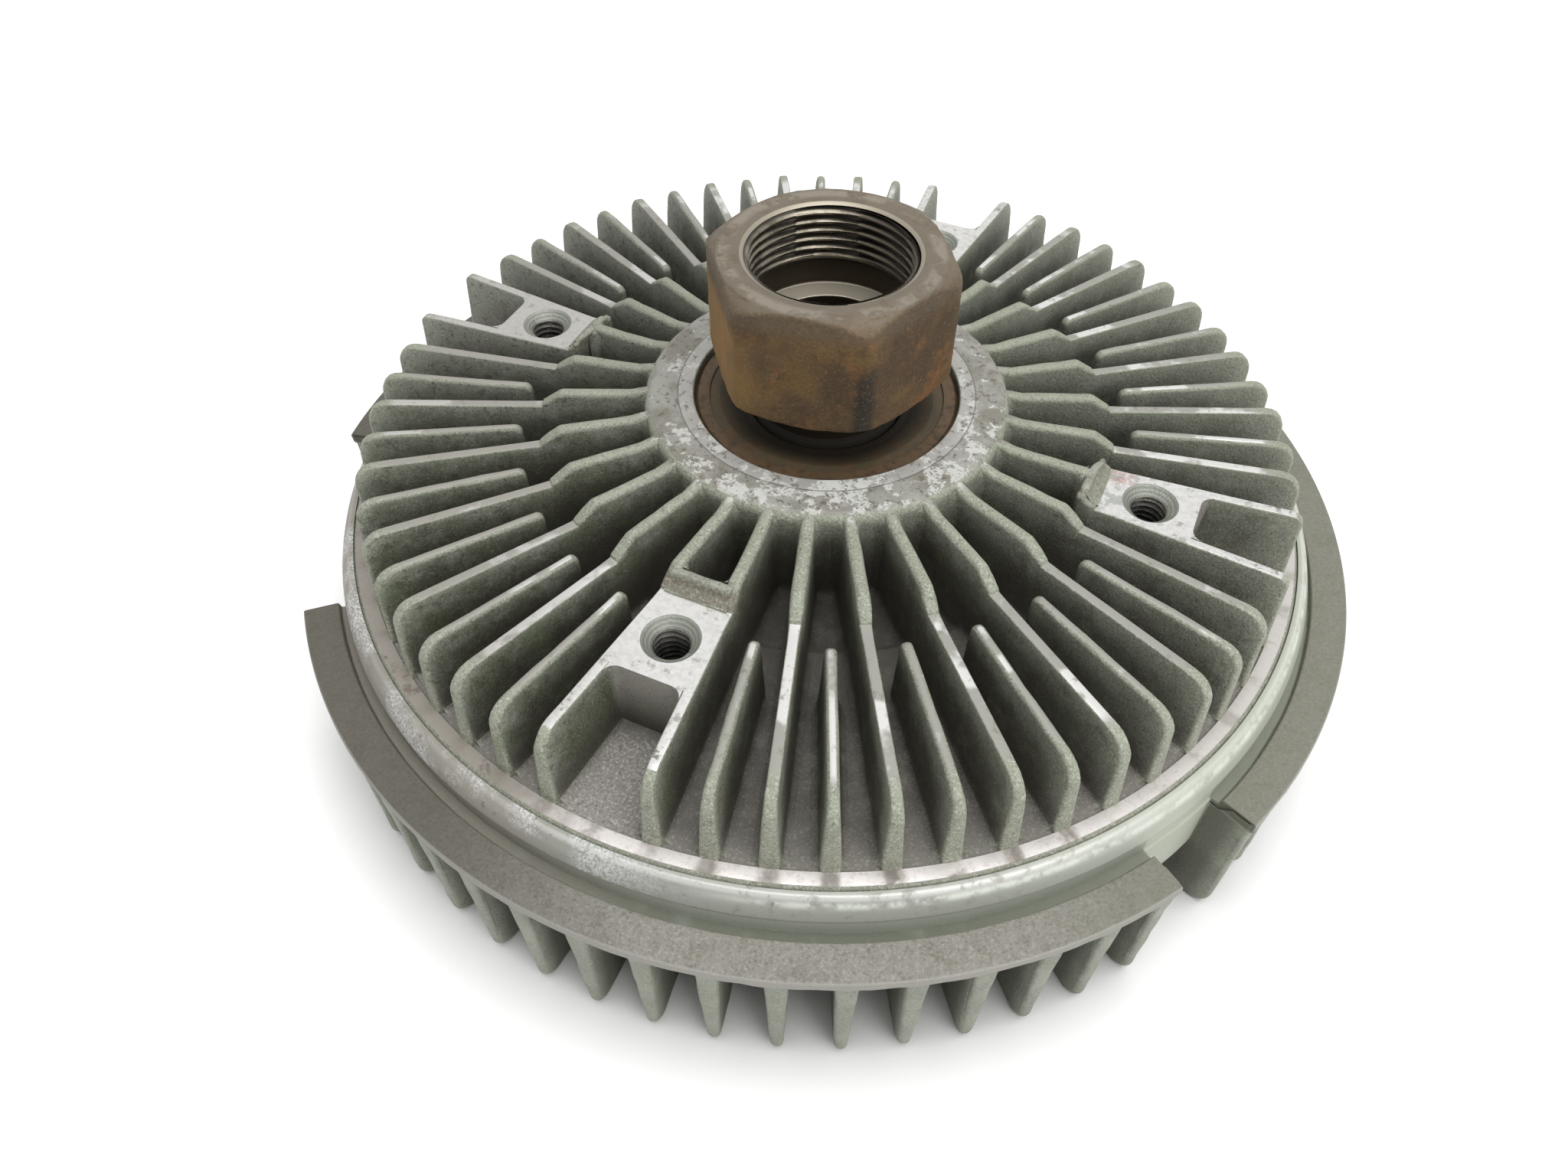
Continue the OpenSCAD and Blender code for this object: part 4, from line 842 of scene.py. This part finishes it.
def cover_look():
    """Front casting: wall in the flange's gaps, undercut, rolled lip and rough flange."""
    look = cast_base("cast_aluminium_cover")
    rise, between, both, patches, layer = look.rise, look.between, look.both, look.patches, look.layer
    r, z, up, side = look.r, look.z, look.up, look.side
    # Dark dirt and painted shade in corners and pockets, where occlusion meets dirt patches
    dirt = patches(0.25, 0.6, 0.3, 4, 0.65, 90)
    layer((rise(look.hidden(10), 0.5, 1.0), dirt, 0.7), (84, 80, 69), 0.75, 0.0)
    gap = look.either(*(between(look.turn, start, end, 0.2) for start, end in FLANGE_GAPS))
    wall = both(gap, between(r, WALL_R - 0.6, WALL_R + 0.2, 0.1), between(z, FACE_Z, LIP_LOW_Z, 0.2))
    # Painted reflection of the floor on the wall in the flange's gaps
    layer((wall, 0.75), (206, 212, 196), 0.55, 0.2)
    undercut = both(between(z, FLANGE_GROOVE_Z - 0.1, LIP_LOW_Z, 0.1),
                    between(r, GROOVE_R - 0.5, FLANGE_GROOVE_R + 0.2, 0.1), look.inverse(gap))
    layer((undercut, 0.9), (186, 190, 178), 0.5, 0.2)
    # Painted shade on the upward faces of the groove under the lip
    layer((undercut, rise(up, 0.5, 0.8), 0.9), (114, 118, 104), 0.7, 0.0)
    layer((undercut, rise(side, -10, -60), 0.6), (158, 161, 148), 0.6, 0.1)
    layer((undercut, rise(side, 10, 45), 0.8), (146, 140, 130), 0.7, 0.0)
    # Painted shade on the front fins' flanks under the flange, away from their outer edges
    below = both(rise(z, FLANGE_LOW_Z + 0.2, FLANGE_LOW_Z - 0.4), rise(up, 0.8, 0.5))
    off_wall = look.inverse(wall)
    layer((below, off_wall, rise(r, FRONT_R - 0.5, FRONT_R - 3.5), 0.7), (88, 87, 75), 0.7, 0.0)
    lip = both(rise(z, LIP_LOW_Z - 0.1, LIP_LOW_Z + 0.1), rise(r, SEAM_R - 0.5, SEAM_R - 0.2))
    layer(lip, (157, 159, 151), 0.45, 0.3)
    # Painted highlight along the lip's crest
    crest = between(r, LIP_CREST_R - 0.2, LIP_CREST_R + 0.35, 0.2)
    layer((lip, crest), (208, 208, 203), 0.34, 0.4)
    layer((lip, patches(0.52, 0.66, 0.6, 5, 0.7, 18), 0.5), (136, 134, 124), 0.55, 0.1)
    # Painted light on the right side of the lip
    layer((lip, rise(side, -15, -50), 0.5), (206, 212, 196), 0.45, 0.25)
    # Painted highlight on the lip's shoulder, away from the left
    lip_highlight = both(between(r, LIP_SHOULDER_R - 0.6, LIP_SHOULDER_R - 0.1, 0.22),
                 patches(0.36, 0.58, 0.3, 5, 0.7, 88))
    layer((lip, lip_highlight, rise(side, 20, -5), 0.75), (232, 236, 225), 0.36, 0.2)
    layer((lip, rise(side, 24, 44), 0.75), (158, 152, 142), 0.6, 0.1)
    # White salt crystals and painted glints on the lip, on the left
    salt_and_glint = both(patches(0.44, 0.62, 0.11, 4, 0.6, 29), patches(0.42, 0.57, 2.6, 4, 0.7, 62))
    layer((lip, rise(side, 10, 34), salt_and_glint, 0.75), (236, 237, 237), 0.35, 0.2)
    layer((lip, patches(0.6, 0.68, 0.5, 5, 0.75, 77), rise(side, -20, 10), 0.6), (92, 84, 74), 0.65, 0.0)
    flange = both(rise(z, FLANGE_LOW_Z + 0.1, FLANGE_LOW_Z + 0.4),
                  rise(r, FLANGE_GROOVE_R - 0.5, FLANGE_GROOVE_R))
    layer(flange, (150, 147, 139), 0.65, 0.1)
    layer((flange, patches(0.48, 0.66, 0.35, 5, 0.7, 25), 0.55), (126, 121, 110))
    layer((flange, rise(look.grain, 0.5, 0.72), 0.55), (190, 187, 179))
    layer((flange, rise(look.grain, 0.46, 0.32), 0.55), (98, 93, 83))
    layer((flange, rise(side, 14, 52), 0.75), (76, 72, 60), 0.7, 0.0)
    layer((flange, rise(side, -22, -48), 0.6), (118, 121, 104))
    layer((flange, rise(up, 0.6, 0.3), rise(z, FLANGE_TOP_Z - 0.2, FLANGE_TOP_Z - 0.5), 0.6), (100, 99, 84),
          0.7, 0.0)
    layer((flange, rise(r, FLANGE_R - 0.4, FLANGE_R - 0.15), 0.6), (190, 188, 181))
    rough = look.inverse(both(lip, 0.8))
    return look.done(both(look.grain, rough), 0.13)


def nut_look():
    """Rusty nut with a worn top and a bright, oily socket, with painted shade under the nut and deep in the
    socket.
    """
    look = Look("rusty_steel", (118, 92, 57), 0.7, 0.15)
    rise, between, both, patches, layer = look.rise, look.between, look.both, look.patches, look.layer
    r, z, up, side = look.r, look.z, look.up, look.side
    fine = look.noise(2.2, 4, 0.65, 12)
    layer(patches(0.4, 0.62, 0.09, 3, 0.5), (86, 68, 48), 0.75, 0.1)
    layer((patches(0.5, 0.68, 0.13, 4, 0.6, 31), 0.8), (152, 104, 58), 0.8, 0.0)
    layer((patches(0.5, 0.68, 0.5, 5, 0.7, 66), 0.5), (70, 56, 41), 0.8, 0.1)
    shoulder = rise(z, NUT_TOP_Z - 4.5, NUT_TOP_Z - 1.5)
    layer((shoulder, 0.65), (108, 97, 80), 0.62, 0.25)
    layer((rise(z, NUT_LOW_Z + 5.5, NUT_LOW_Z + 1.5), 0.35), (66, 52, 38))
    corner = rise(look.math("ABSOLUTE", look.math("SUBTRACT", look.turn, NUT_TURN - 60)), 7, 2)
    layer((corner, rise(z, NUT_LOW_Z + 13.5, NUT_LOW_Z + 9.5), 0.9), (40, 37, 32), 0.7, 0.2)
    layer((rise(fine, 0.52, 0.72), 0.45), (56, 45, 34), 0.8, 0.1)
    layer((rise(fine, 0.46, 0.3), 0.35), (164, 136, 98), 0.7, 0.1)
    top = both(rise(up, 0.7, 0.97), rise(z, NUT_TOP_Z - 1.0, NUT_TOP_Z - 0.4))
    layer((rise(side, 7, 15), rise(z, NUT_LOW_Z + 15.5, NUT_LOW_Z + 11.5), 0.5), (178, 140, 84), 0.75, 0.1)
    layer((top, 0.85), (120, 111, 97), 0.55, 0.25)
    layer((top, patches(0.48, 0.64, 0.3, 5, 0.7, 52), 0.6), (104, 90, 71), 0.65, 0.1)
    worn = both(top, between(r, MOUTH_R + 1.3, NUT_HALF - 0.4, 0.5), patches(0.42, 0.56, 0.25, 5, 0.7, 9))
    layer((worn, 0.4), (178, 170, 154), 0.45, 0.35)
    # Painted shade below the nut, over the neck and the shaft
    layer(rise(z, NUT_LOW_Z + 0.3, NUT_LOW_Z - 0.3), (26, 22, 17), 0.9, 0.0)
    bore = rise(r, MOUTH_R + 0.12, MOUTH_R + 0.04)
    layer((bore, rise(z, NUT_TOP_Z - 0.6, NUT_TOP_Z - 0.4)), (158, 150, 134), 0.4, 0.5)
    inside = both(bore, rise(z, NUT_TOP_Z - 0.3, NUT_TOP_Z - 0.45))
    layer(inside, (134, 127, 114), 0.24, 0.9)
    # Painted shade on the right side of the socket
    layer((inside, rise(side, 5, -7), 0.7), (58, 52, 44), 0.3, 0.7)
    layer((inside, patches(0.45, 0.65, 0.35, 4, 0.6, 8), 0.6), (70, 62, 50), 0.3, 0.7)
    # Painted shade in the roots of the thread
    layer((inside, rise(r, THREAD_CREST_R + 0.25, THREAD_CREST_R + 0.6), 0.8), (34, 30, 25), 0.4, 0.5)
    # Painted shade deep in the socket, below the undercut
    below = both(bore, rise(z, UNDERCUT_Z, UNDERCUT_Z - 0.2))
    layer(below, (60, 52, 42), 0.4, 0.6)
    # Bright turned ledge, partly painted highlight
    ledge = both(below, rise(up, 0.8, 0.95), rise(r, PILOT_R, PILOT_R + 0.2))
    layer(ledge, (216, 208, 188), 0.3, 0.5)
    return look.done(both(fine, look.inverse(both(bore, 0.9))), 0.14)


def plain_look(name, colour, worn, rough, metal, grease_and_shade_r=0.0):
    """Machined, stamped or moulded material with fine marks and worn patches, and grease and painted shade
    inside a radius.
    """
    look = Look(name, colour, rough, metal)
    look.layer((look.patches(0.45, 0.66, 0.6, 5, 0.65), 0.8), worn)
    if grease_and_shade_r:
        # Grease and painted shade under the nut
        look.layer(look.rise(look.r, grease_and_shade_r + 2.5, grease_and_shade_r - 2.0), (50, 44, 34))
    fine = look.noise(3.0, 3, 0.6, 20)
    look.rough = look.scaled(fine, 0.25, rough - 0.12)
    return look.done(fine, 0.05)


CAD_LOOKS = [
    # Oiled inner ring, drawn near black as painted shade under the nut
    (("bearing_inner_ring",), plain_look("bearing_oil_and_shade_steel", (34, 29, 22), (26, 22, 17), 0.85, 0.1)),
    (("bearing_outer_ring",),
     plain_look("bearing_ring_steel", (98, 79, 57), (62, 50, 37), 0.55, 0.35)),
    (("bearing_rear_shield", "bearing_front_shield"),
     plain_look("bearing_shield_steel", (84, 75, 55), (104, 78, 54), 0.62, 0.25, grease_and_shade_r=14.5)),
    (("bearing_cage", "separator_plate", "valve_arm", "valve_clip"),
     plain_look("plated_steel", (168, 164, 150), (140, 132, 112), 0.38, 0.8)),
    (("rotor_disc",), plain_look("rotor_aluminium", (196, 196, 192), (170, 170, 164), 0.36, 0.8)),
    (("valve_shaft",), plain_look("valve_steel", (160, 156, 148), (126, 118, 104), 0.32, 0.85)),
    (("bimetal_coil",), plain_look("bimetal_strip", (150, 132, 100), (112, 92, 66), 0.4, 0.75)),
    (("cover_seal_ring", "valve_shaft_seal"),
     plain_look("seal_rubber", (30, 30, 29), (46, 45, 43), 0.7, 0.0)),
    (tuple(f"bearing_ball_{i}" for i in range(1, 9)),
     plain_look("ball_steel", (206, 205, 202), (190, 188, 184), 0.2, 0.95)),
]


def dress():
    rear_body(rear_look())
    front_cover(cover_look())
    input_shaft(nut_look())
    for names, mat in CAD_LOOKS:
        for name in names:
            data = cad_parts[name].data
            data.materials.clear()
            data.materials.append(mat)


# Stage, light and camera

LAMP_AIM = Vector((0, 0, 0.03))


def seen_by_eye(tree):
    """1 for camera, glossy and transmission rays, and 0 for the rays that light the object."""
    seen = add_node(tree, "ShaderNodeLightPath").outputs
    glossy = add_math(tree, "MAXIMUM", seen["Is Camera Ray"], seen["Is Glossy Ray"])
    return add_math(tree, "MAXIMUM", glossy, seen["Is Transmission Ray"])


def stage():
    """White floor that keeps the shadow, in a white room, with a painted shadow: its glow to the eye fades
    near the object.
    """
    mesh = bpy.data.meshes.new("floor")
    half = 4.0
    corners = [(-half, -half, 0), (half, -half, 0), (half, half, 0), (-half, half, 0)]
    mesh.from_pydata(corners, [], [(0, 1, 2, 3)])
    mat = bpy.data.materials.new("floor_white")
    mat.use_nodes = True
    tree = mat.node_tree
    rays = seen_by_eye(tree)
    # Painted shadow: the floor's glow is cut by occlusion and near the object
    shadow_ao = add_node(tree, "ShaderNodeAmbientOcclusion", Distance=0.022).outputs["AO"]
    place = add_node(tree, "ShaderNodeNewGeometry").outputs["Position"]
    away = add_node(tree, "ShaderNodeVectorMath", operation="LENGTH", Vector=place).outputs["Value"]
    shadow_fade = add_node(tree, "ShaderNodeMapRange", Value=away, From_Min=0.2, From_Max=0.8, To_Min=0.4,
                      To_Max=1.0)
    lift = add_node(tree, "ShaderNodeMapRange", Value=shadow_ao, From_Min=0.35, To_Max=shadow_fade.outputs[0])
    shown = add_math(tree, "MULTIPLY", rays, lift.outputs[0])
    ends = {"Base Color": (0.93, 0.93, 0.92, 1), "Roughness": 0.9, "Emission Color": (1, 1, 1, 1),
            "Emission Strength": shown}
    for name, value in ends.items():
        give(tree, tree.nodes["Principled BSDF"].inputs[name], value)
    mesh.materials.append(mat)
    placed("floor", mesh)


def room(strength):
    """White world to the eye, which lights the object at the strength given."""
    world = bpy.data.worlds.new("room")
    bpy.context.scene.world = world
    world.use_nodes = True
    tree = world.node_tree
    back = tree.nodes["Background"]
    give(tree, back.inputs["Color"], (1, 1, 1, 1))
    span = add_node(tree, "ShaderNodeMapRange", Value=seen_by_eye(tree), To_Min=strength, To_Max=1.0)
    give(tree, back.inputs["Strength"], span.outputs[0])


def softbox(name, place, size, power):
    """Square lamp that points at the middle of the object."""
    light = bpy.data.lights.new(name, "AREA")
    light.size = size
    light.energy = power
    lamp = placed(name, light)
    lamp.location = place
    lamp.rotation_euler = (LAMP_AIM - place).to_track_quat("-Z", "Y").to_euler()


# Camera of the photograph: focal length in pixels, place in seam radii, angles in radians
PHOTO_WIDTH, FOCAL = 2048, 1500.0
BACK, HEIGHT, YAW, PITCH, ROLL = 1.86058, 1.73132, -0.04564, 0.85493, 0.00624
PART_TURN = math.radians(PHOTO_TURN)


def camera():
    data = bpy.data.cameras.new("camera")
    data.sensor_width = 36
    data.lens = FOCAL / PHOTO_WIDTH * data.sensor_width
    data.clip_start, data.clip_end = 0.01, 20
    ahead = Vector((math.sin(YAW) * math.cos(PITCH), math.cos(YAW) * math.cos(PITCH), -math.sin(PITCH)))
    right = ahead.cross(Vector((0, 0, 1))).normalized()
    above = right.cross(ahead)
    rolled_right = math.cos(ROLL) * right + math.sin(ROLL) * above
    rolled_above = math.cos(ROLL) * above - math.sin(ROLL) * right
    pose = Matrix((rolled_right, rolled_above, -ahead)).transposed().to_4x4()
    pose.translation = Vector((0, -BACK, HEIGHT)) * SEAM_R * MM
    obj = placed("camera", data)
    obj.matrix_world = Matrix.Translation((0, 0, SEAM_Z * MM)) @ Matrix.Rotation(PART_TURN, 4, "Z") @ pose
    bpy.context.scene.camera = obj


def seen_from(side, back, up):
    """Place of a lamp given in the photograph's directions, in metres."""
    return Matrix.Rotation(PART_TURN, 3, "Z") @ Vector((side, back, up))


dress()
stage()
room(0.28)
softbox("key", seen_from(0.15, -0.1, 1.3), 1.0, 11.5)
softbox("fill", seen_from(0.72, -0.8, 0.75), 0.7, 3.8)
camera()
bpy.context.scene.view_settings.view_transform = "Standard"
